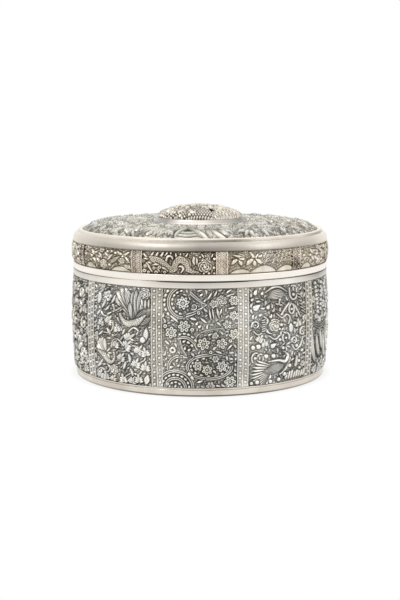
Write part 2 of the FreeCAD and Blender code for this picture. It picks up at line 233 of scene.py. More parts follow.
def blade(relief, x, y, length, width, angle, bend=0.0, shape=LEAF, lift=LIFT, rib=0.0, veins=0.0, lines=0,
          edge=0.5):
    """A leaf, feather, drop or strand on a bent axis. Angles are in degrees, counted from the right."""
    cut, u, v = relief.around(x, y, length * 1.05 + width)
    along, across = along_bend(u, v, math.radians(angle), length, math.radians(bend))
    t = along / length
    half = width / 2 * shape(np.clip(t, 0, 1))
    inside = np.minimum(half - np.abs(across), np.minimum(along, length - along) + END_ROUND)
    form = lift * dome(inside / (edge * width / 2 + END_ROUND))
    if rib:
        form = form - rib * np.exp(-(across / RIB_WIDTH) ** 2)
    if veins:
        wave = np.cos((along - VEIN_SLOPE * np.abs(across)) * 2 * np.pi / VEIN_PITCH)
        form = form - veins * (0.5 + 0.5 * wave)
    if lines:
        form = form - LINE_DEPTH * (0.5 + 0.5 * np.cos(across / np.maximum(half, 0.05) * np.pi * lines))
    relief.lay(cut, inside, np.maximum(form, 0.1))


def leaf(relief, root, tip, width, bend=0.0, shape=LEAF, **marks):
    """A blade from a root to a tip, each in hundredths of the field."""
    (x, y), (x_tip, y_tip) = relief.at(*root), relief.at(*tip)
    chord = math.hypot(x_tip - x, y_tip - y)
    half = math.radians(abs(bend)) / 2
    length = chord * half / math.sin(half) if half else chord
    lean = math.degrees(math.atan2(y_tip - y, x_tip - x))
    blade(relief, x, y, length, width, lean - bend / 2, bend, shape, **marks)


def bead(relief, x, y, r, lift=LIFT):
    """A round bead."""
    cut, u, v = relief.around(x, y, r + WIDE_MOAT)
    inside = r - np.hypot(u, v)
    relief.lay(cut, inside, lift * dome(inside / r))


def ring_bead(relief, x, y, r, lift=LIFT):
    """A small round boss with a punched middle."""
    cut, u, v = relief.around(x, y, r + WIDE_MOAT)
    out = np.hypot(u, v)
    punch = 0.8 * lift * (1 - ramp(out, 0.15 * r, 0.5 * r))
    relief.lay(cut, r - out, lift * dome((r - out) / (0.5 * r)) - punch)


def drop(relief, x, y, r, angle, lift=LIFT):
    """An oblong bead, centred on its place."""
    a = math.radians(angle)
    blade(relief, x - r * math.cos(a), y - r * math.sin(a), 2 * r, 1.35 * r, angle, shape=DROP, lift=lift,
          edge=0.9)


def blossom(relief, x, y, r, angle=0.0, petals=6):
    """A flower of cupped petals round a punched boss."""
    cut, u, v = relief.around(x, y, r * 1.15)
    part = 2 * math.pi / petals
    bearing = (np.arctan2(v, u) - math.radians(angle) + part / 2) % part - part / 2
    out = np.hypot(u, v)
    half = min(0.38, 0.62 * math.sin(part / 2)) * r
    inside = half * (1 - np.hypot((out * np.cos(bearing) - 0.64 * r) / (0.36 * r),
                                  out * np.sin(bearing) / half))
    cup = ramp(inside, 0.42 * half, 0.9 * half)
    relief.lay(cut, np.maximum(inside, 0.3 * r - out), np.full(out.shape, 0.04), moat=0.6)
    relief.lay(cut, inside, LIFT * (1.05 * dome(inside / (0.3 * half)) - 0.85 * cup), moat=0.2)
    ring_bead(relief, x, y, 0.27 * r)


def lobed_leaf(relief, x, y, r, angle, lobes=7, lift=LIFT):
    """A leaf whose pointed lobes are joined along a middle rib."""
    cut, u, v = relief.around(x, y, r * 1.2)
    c, s = math.cos(math.radians(angle)), math.sin(math.radians(angle))
    along, across = u * c + v * s, v * c - u * s
    pairs = (lobes - 1) // 2
    stems = [(0.40, 0.0, 0.33)]
    for n in range(pairs):
        for side in (-1, 1):
            turn = side * math.radians(78 - 38 * n / pairs)
            stems.append((0.02 + 0.42 * n / pairs, turn, 0.33 - 0.07 * n / pairs))
    inside = np.full(u.shape, OUTSIDE)
    crease = np.zeros(u.shape)
    for root, turn, size in stems:
        from_root = along - root * r
        ahead = from_root * math.cos(turn) + across * math.sin(turn)
        aside = across * math.cos(turn) - from_root * math.sin(turn)
        half = 0.40 * size * r
        long = np.clip(ahead / (1.9 * size * r), 0, 1)
        lobe = np.where((ahead > 0) & (long < 1), half * LEAF(long) - np.abs(aside), OUTSIDE)
        inside = np.maximum(inside, lobe)
        fold = np.exp(-(aside / 0.16) ** 2) * ramp(ahead, 1.6 * size * r, 0.9 * size * r) * (ahead > 0)
        crease = np.maximum(crease, fold)
    rib = np.minimum(0.07 * r - np.abs(across), np.minimum(along, 0.6 * r - along))
    inside = np.maximum(inside, rib)
    form = lift * dome(inside / (0.09 * r)) - 0.5 * crease
    relief.lay(cut, inside, np.maximum(form, 0.15))


def scroll(relief, x, y, r, angle=0.0, hand=1, turns=1.4, width=0.24):
    """A strand that winds in to a round bud."""
    cut, u, v = relief.around(x, y, r * 1.25)
    out = np.hypot(u, v)
    bearing = (hand * (np.arctan2(v, u) - math.radians(angle))) % (2 * math.pi)
    best = np.full(out.shape, OUTSIDE)
    for lap in range(int(turns) + 1):
        run = bearing + lap * 2 * math.pi
        share = np.clip(run / (turns * 2 * math.pi), 0, 1)
        strip = width * r * (1 - 0.5 * share) - np.abs(out - r * (1 - 0.74 * share))
        best = np.maximum(best, np.where(run <= turns * 2 * math.pi, strip, OUTSIDE))
    relief.lay(cut, best, LIFT * dome(best / (0.7 * width * r)) * 0.95, moat=0.25)
    bead(relief, x, y, 0.26 * r)


def rose(relief, x, y, r, angle=0.0):
    """An open flower of overlapping round petals."""
    for out, size, count, lift in ((0.58, 0.46, 6, 0.8), (0.34, 0.38, 5, 0.95), (0.12, 0.26, 3, 1.1)):
        for n in range(count):
            a = math.radians(angle + 360 / count * (n + out))
            cx, cy = x + out * r * math.cos(a), y + out * r * math.sin(a)
            cut, u, v = relief.around(cx, cy, size * r + 0.6)
            inside = size * r - np.hypot(u, v)
            rim = dome(inside / (0.14 * r)) - 0.7 * ramp(inside, 0.10 * r, 0.32 * r)
            relief.lay(cut, inside, lift * LIFT * rim + 0.12, moat=0.25)


def strand(relief, points, widths, lift=LIFT, scales=0.0, lines=0, edge=0.8):
    """A strand along a smooth line through points in hundredths of the field, with its width at each."""
    p = np.array([relief.at(*point) for point in points])
    w = np.broadcast_to(np.array(widths, float) / 2, len(p))
    ends = np.vstack([2 * p[0] - p[1], p, 2 * p[-1] - p[-2]])
    t = np.linspace(0, 1, 10, endpoint=False)[:, None]
    line, half = [], []
    for a, b, c, d, w0, w1 in zip(ends, ends[1:], ends[2:], ends[3:], w, w[1:]):
        square = 2 * a - 5 * b + 4 * c - d
        cube = 3 * b - a - 3 * c + d
        line.append(0.5 * (2 * b + (c - a) * t + square * t**2 + cube * t**3))
        half.append(w0 + (w1 - w0) * t[:, 0])
    line = np.vstack(line + [p[-1:]])
    half = np.concatenate(half + [w[-1:]])
    middle = (line.min(0) + line.max(0)) / 2
    size = (line.max(0) - line.min(0)).max() / 2 + half.max() + 0.6
    cut, u, v = relief.around(*middle, size)
    u, v = u + middle[0], v + middle[1]
    inside = np.full(u.shape, OUTSIDE)
    along, across, wide = np.zeros(u.shape), np.zeros(u.shape), np.ones(u.shape)
    run = 0.0
    for a, b, h0, h1 in zip(line, line[1:], half, half[1:]):
        d = b - a
        long = np.hypot(*d)
        s = np.clip(((u - a[0]) * d[0] + (v - a[1]) * d[1]) / long**2, 0, 1)
        off = np.hypot(u - a[0] - s * d[0], v - a[1] - s * d[1])
        width_here = h0 + (h1 - h0) * s
        better = width_here - off > inside
        side = np.sign(d[0] * (v - a[1]) - d[1] * (u - a[0]))
        inside = np.where(better, width_here - off, inside)
        along = np.where(better, run + s * long, along)
        across = np.where(better, off * side, across)
        wide = np.where(better, width_here, wide)
        run += long
    form = lift * dome(inside / (edge * wide))
    if scales:
        cells = np.sin(np.pi * (along + across) / scales) * np.sin(np.pi * (along - across) / scales)
        form = form - 0.75 * (1 - np.sqrt(np.abs(cells))) * ramp(inside, 0.15 * wide, 0.35 * wide)
    if lines:
        form = form - LINE_DEPTH * (0.5 + 0.5 * np.cos(across / wide * np.pi * lines))
    relief.lay(cut, inside, np.maximum(form, 0.12))


def arc(relief, place, radii, start, sweep):
    """Points on an ellipse round a place, in hundredths of the field; the radii are in millimetres."""
    steps = np.radians(start + sweep * np.linspace(0, 1, max(5, round(abs(sweep) / 18))))
    share = 100 * np.array(radii) / relief.field
    return [(place[0] + share[0] * math.cos(a), place[1] + share[1] * math.sin(a)) for a in steps]


def border(relief, place, rx, ry, start=0, sweep=360, lift=0.85):
    """A double wire round an ellipse or part of one."""
    for inset in (0, 0.95):
        strand(relief, arc(relief, place, (rx - inset, ry - inset), start, sweep), 0.7, lift)


def bead_row(relief, place, rx, ry, count, r, start=0.0, sweep=360.0):
    """Oblong beads round an ellipse, lying along it."""
    x, y = relief.at(*place)
    for n in range(count):
        a = math.radians(start + sweep * n / (count if sweep >= 360 else max(count - 1, 1)))
        lean = math.degrees(math.atan2(ry * math.cos(a), -rx * math.sin(a)))
        drop(relief, x + rx * math.cos(a), y + ry * math.sin(a), r, lean)


def cleared(relief, place, rx, ry):
    """Takes an ellipse down to the ground."""
    x, y = relief.at(*place)
    cut, u, v = relief.around(x, y, max(rx, ry))
    relief.h[cut] *= ramp(np.hypot(u / rx, v / ry), 0.94, 1.0)


def feathers(relief, x, y, length, start, sweep, count, width, bend=0.0, shorter=0.25, lift=LIFT):
    """A fan of feathers from one root, the outermost laid first."""
    for n in sorted(range(count), key=lambda k: -abs(k - (count - 1) / 2)):
        share = n / max(count - 1, 1)
        size = length * (1 - shorter * abs(2 * share - 1) ** 1.5)
        blade(relief, x, y, size, width, start + sweep * share, bend, PLUME, lift, rib=0.6, veins=0.3,
              edge=0.8)


def bird(relief, x, y, size, face=1, wing_angle=80, tail_angle=150):
    """A phoenix: curved neck, raised wing and long tail plumes. Face is 1 to the right and -1 to the left."""
    turn = lambda a: a if face > 0 else 180 - a
    spot = lambda u, v: (100 * (x + face * u * size) / relief.field[0],
                         100 * (y + v * size) / relief.field[1])
    for n in range(6):
        blade(relief, x - face * 0.25 * size, y + 0.05 * size, size * (1.5 - 0.09 * n), size * 0.16,
              turn(tail_angle - 14 * n), face * -38, PLUME, rib=0.4, edge=0.8)
    feathers(relief, x - face * 0.05 * size, y + 0.1 * size, size * 1.15, turn(wing_angle) - 26, 52, 6,
             size * 0.22, face * 12)
    strand(relief, [spot(-0.45, 0.1), spot(0, -0.05), spot(0.4, 0.08), spot(0.55, 0.42), spot(0.72, 0.6)],
           [0.18 * size, 0.46 * size, 0.32 * size, 0.17 * size, 0.2 * size], LIFT + 0.15, scales=1.0)
    blade(relief, x + face * 0.74 * size, y + 0.6 * size, size * 0.24, size * 0.1, turn(-20), shape=TAPER)
    for n in range(3):
        blade(relief, x + face * 0.68 * size, y + 0.66 * size, size * 0.3, size * 0.08, turn(95 + 28 * n),
              face * 40)


def rock(relief, across, width, height):
    """A smooth hill on the lower edge."""
    cut, u, v = relief.around(relief.at(across, 0)[0], 0, width)
    top = height * np.cos(np.clip(u / width, -0.5, 0.5) * np.pi) ** 0.8
    inside = np.minimum(top - v, width / 2 - np.abs(u))
    relief.lay(cut, inside, (0.5 + 0.35 * dome(inside / height)) * dome(inside / 0.35), moat=0.6)


def underlay(relief, rng, lift=0.42):
    """Low worm-like chasing all over the ground, which the motifs are laid on."""
    cells = max(1, round(0.38 / relief.step))
    worms = blurred(rng.normal(0, 1, relief.h.shape), cells)
    worms = np.abs(worms) / worms.std()
    relief.h[:] = lift * (1 - ramp(worms, 0.25, 1.1))


def fill(relief, rng, sizes, leaves=0.35, curls=0.2, flowers=0.15):
    """Leaves, curls, flowers and drops along one flow wherever nothing stands yet, the largest first."""
    flow = blurred(rng.normal(0, 1, relief.h.shape), round(2.2 / relief.step))
    flow *= 120 / flow.std()
    relief.moat = MOAT
    for size, tries in sizes:
        lift = 0.42 + 0.36 * size
        for x, y, pick, sway in zip(rng.uniform(0, relief.field[0], tries),
                                    rng.uniform(0, relief.field[1], tries), rng.uniform(0, 1, tries),
                                    rng.uniform(-40, 40, tries)):
            if not relief.is_free(x, y, size):
                continue
            angle = sway + flow[np.searchsorted(relief.y, y) - 1, np.searchsorted(relief.x, x) - 1]
            a = math.radians(angle)
            bx, by = x - size * math.cos(a), y - size * math.sin(a)
            bend = 80 if pick < 0.5 else -80
            if size > 1.4 and pick < leaves:
                lobed_leaf(relief, bx, by, 2.4 * size, angle, 5, lift + 0.1)
            elif size > 1.4 and pick < leaves + curls:
                scroll(relief, x, y, 0.9 * size, angle, 1 if bend > 0 else -1)
            elif size > 1.4 and pick < leaves + curls + flowers:
                blossom(relief, x, y, 1.1 * size, angle, 5)
            elif size > 1.4:
                for turn in (-40, 0, 40):
                    blade(relief, bx, by, 2.2 * size, 0.75 * size, angle + turn, turn / 2, lift=lift,
                          edge=0.7)
            elif size > 0.7:
                blade(relief, bx, by, 2.5 * size, 1.1 * size, angle, bend, DROP, lift, edge=0.7)
            else:
                drop(relief, x, y, size * 1.2, angle, lift)


def hammered(relief, rng, depth=0.05):
    """The unevenness of hand work."""
    soft = blurred(rng.uniform(-1, 1, relief.h.shape), 6)
    relief.h += depth * rng.uniform(-1, 1, relief.h.shape) * (relief.h < 0.5) + 0.5 * soft
    relief.h = np.maximum(relief.h, -0.15)


# Sizes of the small forms that fill the ground, in millimetres, and how often each is tried
FINE = ((2.6, 120), (1.9, 400), (1.35, 1200), (1.0, 2000), (0.75, 2500), (0.52, 3000), (0.38, 4000))


# Wall panels. Places are hundredths of the field between two strips, from its lower left corner.

def draw_prunus(relief, rng):
    """Blossom in bead-edged cartouches: the panel that faces the front."""
    at = relief.at
    relief.moat = MOAT
    # a branch, and leaf sprays in the upper right
    strand(relief, [(44, 49), (47, 54), (56, 58), (69, 60), (83, 61), (96, 64)], 0.6, 0.7)
    for root, tip, width, bend in (
            ((62, 81), (65, 68), 1.3, 8), ((66, 82), (69, 69), 1.1, 10), ((72, 82), (76, 70), 1.5, 14),
            ((79, 81), (75, 73), 1.4, -12), ((51, 84), (60, 92), 1.5, 20), ((58, 88), (66, 97), 1.4, 20),
            ((67, 91), (73, 99), 1.3, 18), ((84, 95), (93, 99), 1.4, -20), ((84, 92), (97, 95), 1.4, 10),
            ((45, 97), (55, 99), 1.2, -20), ((86, 80), (97, 82), 1.5, 20), ((82, 70), (90, 74), 1.3, -20),
            ((10, 68), (24, 73), 2.6, 25), ((22, 66), (8, 74), 1.6, 25), ((36, 71), (46, 69), 1.8, -25),
            ((50, 72), (60, 66), 1.6, 20), ((3, 49), (10, 44), 1.5, 20), ((20, 33), (35, 31), 2.0, -20),
            ((3, 12), (12, 16), 1.4, 30), ((44, 6), (55, 9), 1.6, 25), ((70, 38), (80, 35), 1.5, -20),
            ((85, 38), (96, 46), 1.3, -20)):
        leaf(relief, root, tip, width, bend, edge=0.8)
    # the cartouche at the upper left, with its point to the right
    cleared(relief, (28.7, 86.5), 8.3, 8.3)
    border(relief, (28.7, 86.5), 8.7, 8.7, 75, 190)
    for inset in (0, 2.2):
        strand(relief, [(37, 97 - inset), (45, 92 - inset), (52, 87.5 - inset / 2), (59, 84.3)], 0.7, 0.85)
        strand(relief, [(32, 72.5 + inset), (42, 75 + inset), (51, 79.5 + inset / 2), (59, 84.3)], 0.7,
               0.85)
    bead_row(relief, (28.7, 86.5), 6.2, 6.2, 8, 1.15, 105, 150)
    bead_row(relief, (28.7, 86.5), 10.4, 10.4, 6, 1.3, 148, 70)
    blossom(relief, *at(27.6, 86), 3.6, 10, 8)
    # the peach-shaped arch at the middle left
    cleared(relief, (34, 45), 4.4, 4.4)
    for inset in (0, 1.5):
        strand(relief, [(20 + inset, 50), (27, 52.5 - inset), (36 - inset, 51.5 - inset),
                        (42.8 - inset, 46.6 - inset / 2), (46.5, 39.5)], 0.7, 0.85)
        strand(relief, [(22.5 + inset, 48.5), (25 + inset, 41), (30.5 + inset, 33.5)], 0.7, 0.85)
    for x, y, turn in (
            (29.4, 48, 30), (35.1, 46.6, -30), (39.8, 43.5, -50), (30.2, 41.2, 80), (36, 39.5, 40),
            (24, 55, 20), (30.2, 55.6, 0), (35.6, 54.5, -20), (40.5, 52.2, -40), (44.5, 48.5, -55)):
        drop(relief, *at(x, y), 1.2, turn)
    # the broad oval at the lower right
    cleared(relief, (62.9, 22), 11.8, 6.6)
    border(relief, (62.9, 22), 12.2, 7.0, 60, 300)
    bead_row(relief, (62.9, 22), 9.9, 4.9, 16, 1.1, 20, 360)
    for x, y, r, turn in (
            (47.3, 23.2, 2.7, 0), (59.5, 19.2, 2.9, 20), (79, 22.5, 3.1, 12), (70.5, 30, 2.0, 5)):
        blossom(relief, *at(x, y), r, turn)
    # the arches at the lower left
    cleared(relief, (16.8, 0), 9.6, 9.6)
    border(relief, (16.8, 0), 5.9, 5.9, 0, 180)
    border(relief, (16.8, 0), 9.9, 9.9, 0, 180)
    bead_row(relief, (16.8, 0), 3.3, 3.3, 5, 1.1, 12, 156)
    bead_row(relief, (16.8, 0), 7.4, 7.4, 10, 1.15, 8, 164)
    border(relief, (23.5, 21), 6.8, 6.8, 80, 110)
    for x, y, r, turn in (
            (19.8, 28.7, 1.2, 60), (21.7, 23.4, 1.1, 40), (12, 21.5, 1.3, 20), (4, 24, 1.1, 80),
            (36.3, 14, 1.7, 300), (40, 10.5, 1.5, 310), (46, 66, 1.3, 60), (50, 63, 1.4, 40),
            (97.5, 34, 1.1, 80), (97.5, 29.5, 1.0, 75), (97.5, 24, 1.0, 90), (97, 18, 1.1, 95),
            (97, 13.5, 1.0, 110), (5, 30, 1.0, 60), (30, 27, 1.0, 20)):
        drop(relief, *at(x, y), r, turn)
    for x, y, r, turn, petals in (
            (29.1, 62.9, 3.3, 5, 6), (12, 56.4, 3.3, 25, 6), (54.7, 45.5, 3.5, 18, 6),
            (78.5, 45.5, 3.0, 0, 5), (68, 85, 2.3, 40, 5), (95, 88, 2.8, 0, 6), (95, 73, 2.7, 20, 6),
            (86, 64.5, 2.4, 30, 5), (95.5, 54.5, 3.0, 12, 6), (90.3, 6.5, 3.3, 0, 6), (64, 2.5, 2.4, 0, 6),
            (70, 53.5, 1.9, 0, 5)):
        blossom(relief, *at(x, y), r, turn, petals)
    rose(relief, *at(78.5, 88), 2.8)
    for x, y, r in (
            (3.9, 62.6, 1.2), (39.8, 59.6, 1.2), (48.3, 76.4, 1.1), (13.8, 38.8, 2.0), (64, 37, 1.1),
            (90, 48, 1.1), (6, 4, 1.0)):
        ring_bead(relief, *at(x, y), r)
    fill(relief, rng, FINE, 0.3, 0.1, 0.25)


def draw_phoenix(relief, rng):
    """A bird with a raised wing and striped plumes above leaf scrolls, and a smaller bird below."""
    at = relief.at
    for tip, bend in (((40, 87), 50), ((43, 94), 46), ((50, 98), 42), ((59, 98), 30)):
        leaf(relief, (72, 66), tip, 4.2, bend, PLUME, lift=1.1, lines=4, edge=0.4)
    for root, tip, width, bend in (
            ((74, 68), (72, 95), 2.0, -14), ((78, 68), (78, 97), 2.2, -14), ((82, 70), (84, 95), 2.0, -16),
            ((84, 72), (90, 88), 1.9, -16), ((71, 67), (68, 84), 1.8, -14)):
        leaf(relief, root, tip, width + 0.5, bend, PLUME, lift=1.15, rib=0.6, veins=0.35, edge=0.8)
    leaf(relief, (74, 64), (100, 79), 6.0, 10, lift=0.95, lines=7)
    leaf(relief, (78, 62), (100, 70), 4.0, 14, lift=0.95, lines=5)
    strand(relief, [(51, 73), (54, 67.5), (60, 63), (69, 62), (80, 65), (92, 72)],
           [1.3, 1.8, 2.8, 4.2, 3.8, 0.9], 1.1, scales=1.3)
    leaf(relief, (51, 73.5), (46, 73), 1.0, 20, TAPER)
    for tip in ((49, 78), (53, 79), (56, 77)):
        leaf(relief, (51.5, 73.5), tip, 0.8, 20)
    rose(relief, *at(91, 93.5), 3.1, 20)
    for root, tip in (((86, 89), (88, 80)), ((92, 88), (92, 78)), ((97, 89), (97, 79))):
        leaf(relief, root, tip, 1.3, 12, edge=0.8)
    # leaves under the bird, on winding stems
    for stem in (
            [(12, 76), (20, 68), (34, 66), (40, 58), (33, 51), (22, 50)],
            [(44, 62), (53, 57), (57, 50), (50, 43), (42, 46)],
            [(52, 16), (60, 21), (68, 27), (64, 34), (56, 33)],
            [(66, 40), (76, 40), (86, 37), (91, 28), (84, 24)],
            [(60, 8), (70, 12), (80, 11), (86, 17), (80, 21)],
            [(4, 8), (14, 12), (26, 9), (32, 14), (26, 18)]):
        strand(relief, stem, [0.7, 0.9, 1.0, 1.0, 0.9, 0.8][:len(stem)], 0.95)
    strand(relief, [(63, 43), (66, 53), (74, 58.5), (81, 56), (79, 52)], [0.8, 1.1, 1.3, 1.1, 0.9], 1.0)
    lobed_leaf(relief, *at(63, 45), 6.6, 38)
    leaf(relief, (91, 45), (93, 60), 3.2, 12, veins=0.35, rib=0.3)
    bead(relief, *at(87.5, 47), 1.8)
    lobed_leaf(relief, *at(60, 37), 6.2, 48)
    lobed_leaf(relief, *at(42, 37), 5.6, 70)
    strand(relief, [(36, 36), (39, 43), (48, 45), (58, 39)], 0.8, 0.9)
    for x, y, r, turn, lobes in ((80, 33, 5.6, 60, 7), (93, 31, 5.2, 105, 7), (76, 19, 5.4, 70, 7),
                                 (91, 16, 5.4, 85, 7), (52, 24, 5.0, 60, 7), (43, 73, 4.6, 110, 3),
                                 (30, 60, 5.2, 60, 7), (48, 53, 4.6, 100, 7), (16, 57, 4.4, 80, 7)):
        lobed_leaf(relief, *at(x, y), r, turn, lobes)
    blossom(relief, *at(29.8, 88), 3.0, 0, 5)
    leaf(relief, (10, 78), (12, 92), 3.0, 25, veins=0.3, rib=0.4)
    for root, tip, width, bend in (
            ((17, 74), (25, 84), 1.4, 25), ((24, 72), (33, 79), 1.4, 25), ((36, 80), (43, 90), 1.5, 30),
            ((8, 66), (16, 73), 1.5, -25), ((28, 68), (38, 72), 1.5, -25), ((35, 48), (27, 56), 1.3, 25),
            ((10, 46), (20, 52), 1.4, 30), ((56, 50), (60, 57), 1.4, 20), ((68, 22), (66, 32), 1.8, 20),
            ((57, 14), (62, 24), 1.8, -25), ((72, 8), (68, 17), 1.5, 20)):
        leaf(relief, root, tip, width, bend, edge=0.8)
    # the smaller bird
    for root, tip in (
            ((22, 28), (5, 36)), ((22, 29), (7, 41)), ((23, 30), (12, 44)), ((24, 31), (18, 45)),
            ((25, 31), (23, 44))):
        leaf(relief, root, tip, 2.0, -12, PLUME, rib=0.4, edge=0.8)
    strand(relief, [(8, 30), (20, 26), (29, 20.5), (37, 21), (41, 27), (39, 33)],
           [1.2, 3.8, 2.8, 1.7, 1.3, 1.5], 1.1, scales=1.3)
    leaf(relief, (39, 33), (45, 34), 0.9, 0, TAPER)
    rose(relief, *at(40, 13), 2.8)
    for x, y, turn, r in (
            (10, 2, 70, 5.0), (24, 1, 100, 5.0), (36, 1, 60, 4.2), (56, 1, 100, 5.2), (69, 1, 60, 5.2),
            (81, 3, 95, 5.0)):
        lobed_leaf(relief, *at(x, y), r, turn)
    leaf(relief, (92, 1), (95, 12), 3.6, -20, rib=0.4)
    leaf(relief, (5, 12), (18, 22), 1.6, 30)
    fill(relief, rng, FINE, 0.55, 0.05, 0.05)


def draw_scrolls(relief, rng):
    """Curls, loops and berries over a resting bird with a striped fan of a tail."""
    at = relief.at
    for x, y, r, turn in (
            (10, 95, 1.9, 70), (20, 93.5, 1.3, 70), (12, 80, 2.6, 35), (29, 79.5, 1.7, 65),
            (38, 40, 2.2, 30), (5, 88, 1.3, 50), (33, 70, 1.4, 60), (17, 72, 1.3, 30)):
        drop(relief, *at(x, y), r, turn)
    leaf(relief, (28, 88), (60, 89), 6.4, -50, lift=1.05, lines=7)
    strand(relief, [(25, 94), (36, 98), (49, 98), (61, 93)], [0.7, 1.4, 1.4, 0.7], 0.8)
    for stem in (
            [(42, 72), (52, 67), (60, 70), (66, 66), (63, 60)],
            [(30, 50), (40, 46), (50, 50), (56, 42), (50, 37)], [(70, 38), (78, 32), (88, 36), (93, 44)],
            [(6, 56), (14, 52), (20, 56), (18, 62)]):
        strand(relief, stem, [0.7, 1.0, 1.1, 0.9, 0.7][:len(stem)], 0.95)
    # a loop with a bead, above a pointed arch
    strand(relief, [(66, 96), (67, 88), (73, 84), (80, 87), (80, 95)], [0.8, 1.1, 1.3, 1.1, 0.8], 1.0)
    bead(relief, *at(73.5, 89), 1.1)
    strand(relief, [(50, 70), (57, 76), (64, 80.5), (68, 81.5)], [0.7, 1.2, 1.2, 0.7], 1.0)
    strand(relief, [(68, 81.5), (75, 78), (82, 71), (87, 65)], [0.7, 1.2, 1.2, 0.6], 1.0)
    for n in range(6):
        leaf(relief, (80 + 1.8 * n, 90 - 3.6 * n), (87 + 1.8 * n, 87 - 3.6 * n), 0.8, -20)
    strand(relief, arc(relief, (69, 75), (1.9, 2.7), 100, 320), 0.9, 1.1)
    bead(relief, *at(69, 74.5), 0.85)
    strand(relief, [(22, 70), (27, 66), (24, 60), (28, 54), (34, 52)], [0.8, 1.5, 1.6, 1.3, 0.6], LIFT)
    for n in range(6):
        leaf(relief, (25, 67 - 2.2 * n), (18, 66 - 2.2 * n), 0.8, 20)
    rose(relief, *at(39, 60.5), 3.6, 15)
    leaf(relief, (67, 50), (67, 61), 2.8, 14, rib=0.4)
    strand(relief, arc(relief, (58.5, 46.5), (2.4, 2.6), -20, 250), 1.0, 1.1)
    bead(relief, *at(58.5, 46), 0.9)
    for x, y, r, turn, hand in ((91, 50, 2.4, 60, 1), (74, 42, 2.2, 200, -1), (9, 62, 2.3, 200, -1),
                                (92, 88, 1.8, 20, -1)):
        scroll(relief, *at(x, y), r, turn, hand)
    for x, y, r, turn, lobes in ((46, 80, 4.0, 75, 3), (50, 54, 3.8, 330, 3), (83, 56, 4.4, 100, 7),
                                 (14, 45, 4.6, 60, 7), (24, 40, 4.2, 100, 7)):
        lobed_leaf(relief, *at(x, y), r, turn, lobes)
    for place, r in (((10, 28.5), 2.9), ((17, 28), 2.3)):
        strand(relief, arc(relief, place, (0.8 * r, r), 60, 320), 0.9, 1.0)
    bead(relief, *at(9.5, 28.5), 1.0)
    # the bird
    for n in range(13):
        blade(relief, *at(43 - 0.6 * n, 17 - 0.5 * n), 15.5 - 0.5 * abs(n - 4), 1.6, 166 + 7.0 * n, -16,
              PLUME, 1.1, edge=0.7)
    leaf(relief, (22, 14), (62, 20), 5.4, 24, lift=0.8, lines=7)
    strand(relief, [(30, 24), (46, 24), (58, 22), (63, 27), (58, 31.5)], [0.7, 1.6, 2.3, 1.6, 1.2],
           LIFT + 0.1)
    leaf(relief, (58, 31.5), (53, 33), 1.0, 0, TAPER)
    strand(relief, [(50, 9), (59, 13), (66, 20), (68, 26)], [0.8, 1.3, 1.3, 0.8], 1.0)
    for n in range(8):
        leaf(relief, (60 + 5.2 * n, 2), (64 + 5.0 * n, 10 + 1.2 * (n % 3)), 1.1, -25)
    leaf(relief, (78, 14), (81, 27), 1.7, 14, DROP)
    for x, y, r in (
            (6.1, 39.5, 1.4), (14, 40, 1.5), (26.4, 29.5, 1.4), (38.1, 29, 1.4), (67.4, 16.5, 1.3),
            (86, 19.5, 1.1), (58.4, 8.5, 1.3), (48.8, 3.7, 1.3), (34.5, 2.8, 1.3), (13.6, 3.5, 1.4),
            (5, 3, 1.1), (50.2, 60, 1.1), (47, 56, 0.9), (75, 60, 1.0), (80, 36, 1.1), (54, 36, 1.1),
            (48, 45, 1.0), (92, 30, 1.1), (88, 12, 1.0)):
        bead(relief, *at(x, y), r)
    fill(relief, rng, FINE, 0.2, 0.3, 0.05)


def draw_swags(relief, rng):
    """Upright rows of beads and two hung wires over long feathers, with a bird at the upper right."""
    at = relief.at
    for drop_by in (0, 2.4):
        strand(relief, [(-4, 60 - drop_by), (16, 52 - drop_by), (36, 50 - drop_by), (58, 55 - drop_by),
                        (72, 66)], 0.6, 0.7)
    for (x0, y0), (x1, y1), count in (
            ((12, 96), (18, 66), 8), ((34, 95), (28, 68), 7), ((50, 92), (62, 72), 6)):
        for share in np.linspace(0, 1, count):
            ring_bead(relief, *at(x0 + (x1 - x0) * share, y0 + (y1 - y0) * share), 1.2)
    for n in range(5):
        top, low = (2 + 13 * n, 48 - 3 * (n % 2)), (16 + 14 * n, 12 + 5 * (n % 3))
        leaf(relief, top, low, 4.4, 48 - 6 * n, PLUME, lift=1.15, lines=3, edge=0.7)
    bird(relief, *at(72, 80), 5.4, -1, 70, 140)
    for x, y, turn in ((10, 2, 60), (30, 1, 95), (52, 2, 75), (74, 2, 110), (92, 2, 90)):
        lobed_leaf(relief, *at(x, y), 4.8, turn)
    blossom(relief, *at(86, 42), 3.2, 0, 6)
    blossom(relief, *at(40, 72), 2.6, 20, 5)
    scroll(relief, *at(88, 18), 2.6, 0, 1)
    fill(relief, rng, FINE, 0.35, 0.2, 0.1)


def draw_leaf_scrolls(relief, rng):
    """Leaf scrolls round two birds: the panel at the far left."""
    at = relief.at
    bird(relief, *at(36, 62), 6.4, 1, 95, 165)
    bird(relief, *at(40, 18), 5.4, -1, 80, 150)
    for x, y, r, turn, hand in (
            (86, 54, 3.2, 90, 1), (84, 24, 3.4, 20, -1), (14, 40, 2.8, 140, 1), (80, 86, 2.8, 250, -1),
            (62, 40, 2.4, 10, 1)):
        scroll(relief, *at(x, y), r, turn, hand)
    for x, y, r, turn in (
            (90, 66, 4.8, 80), (88, 36, 5.0, 60), (12, 86, 4.6, 40), (90, 3, 5.4, 100), (12, 3, 5.0, 80),
            (60, 3, 4.8, 60)):
        lobed_leaf(relief, *at(x, y), r, turn)
    blossom(relief, *at(14, 54), 2.8, 0, 6)
    blossom(relief, *at(62, 90), 2.6, 15, 5)
    fill(relief, rng, FINE, 0.5, 0.15, 0.05)


# Lid panels

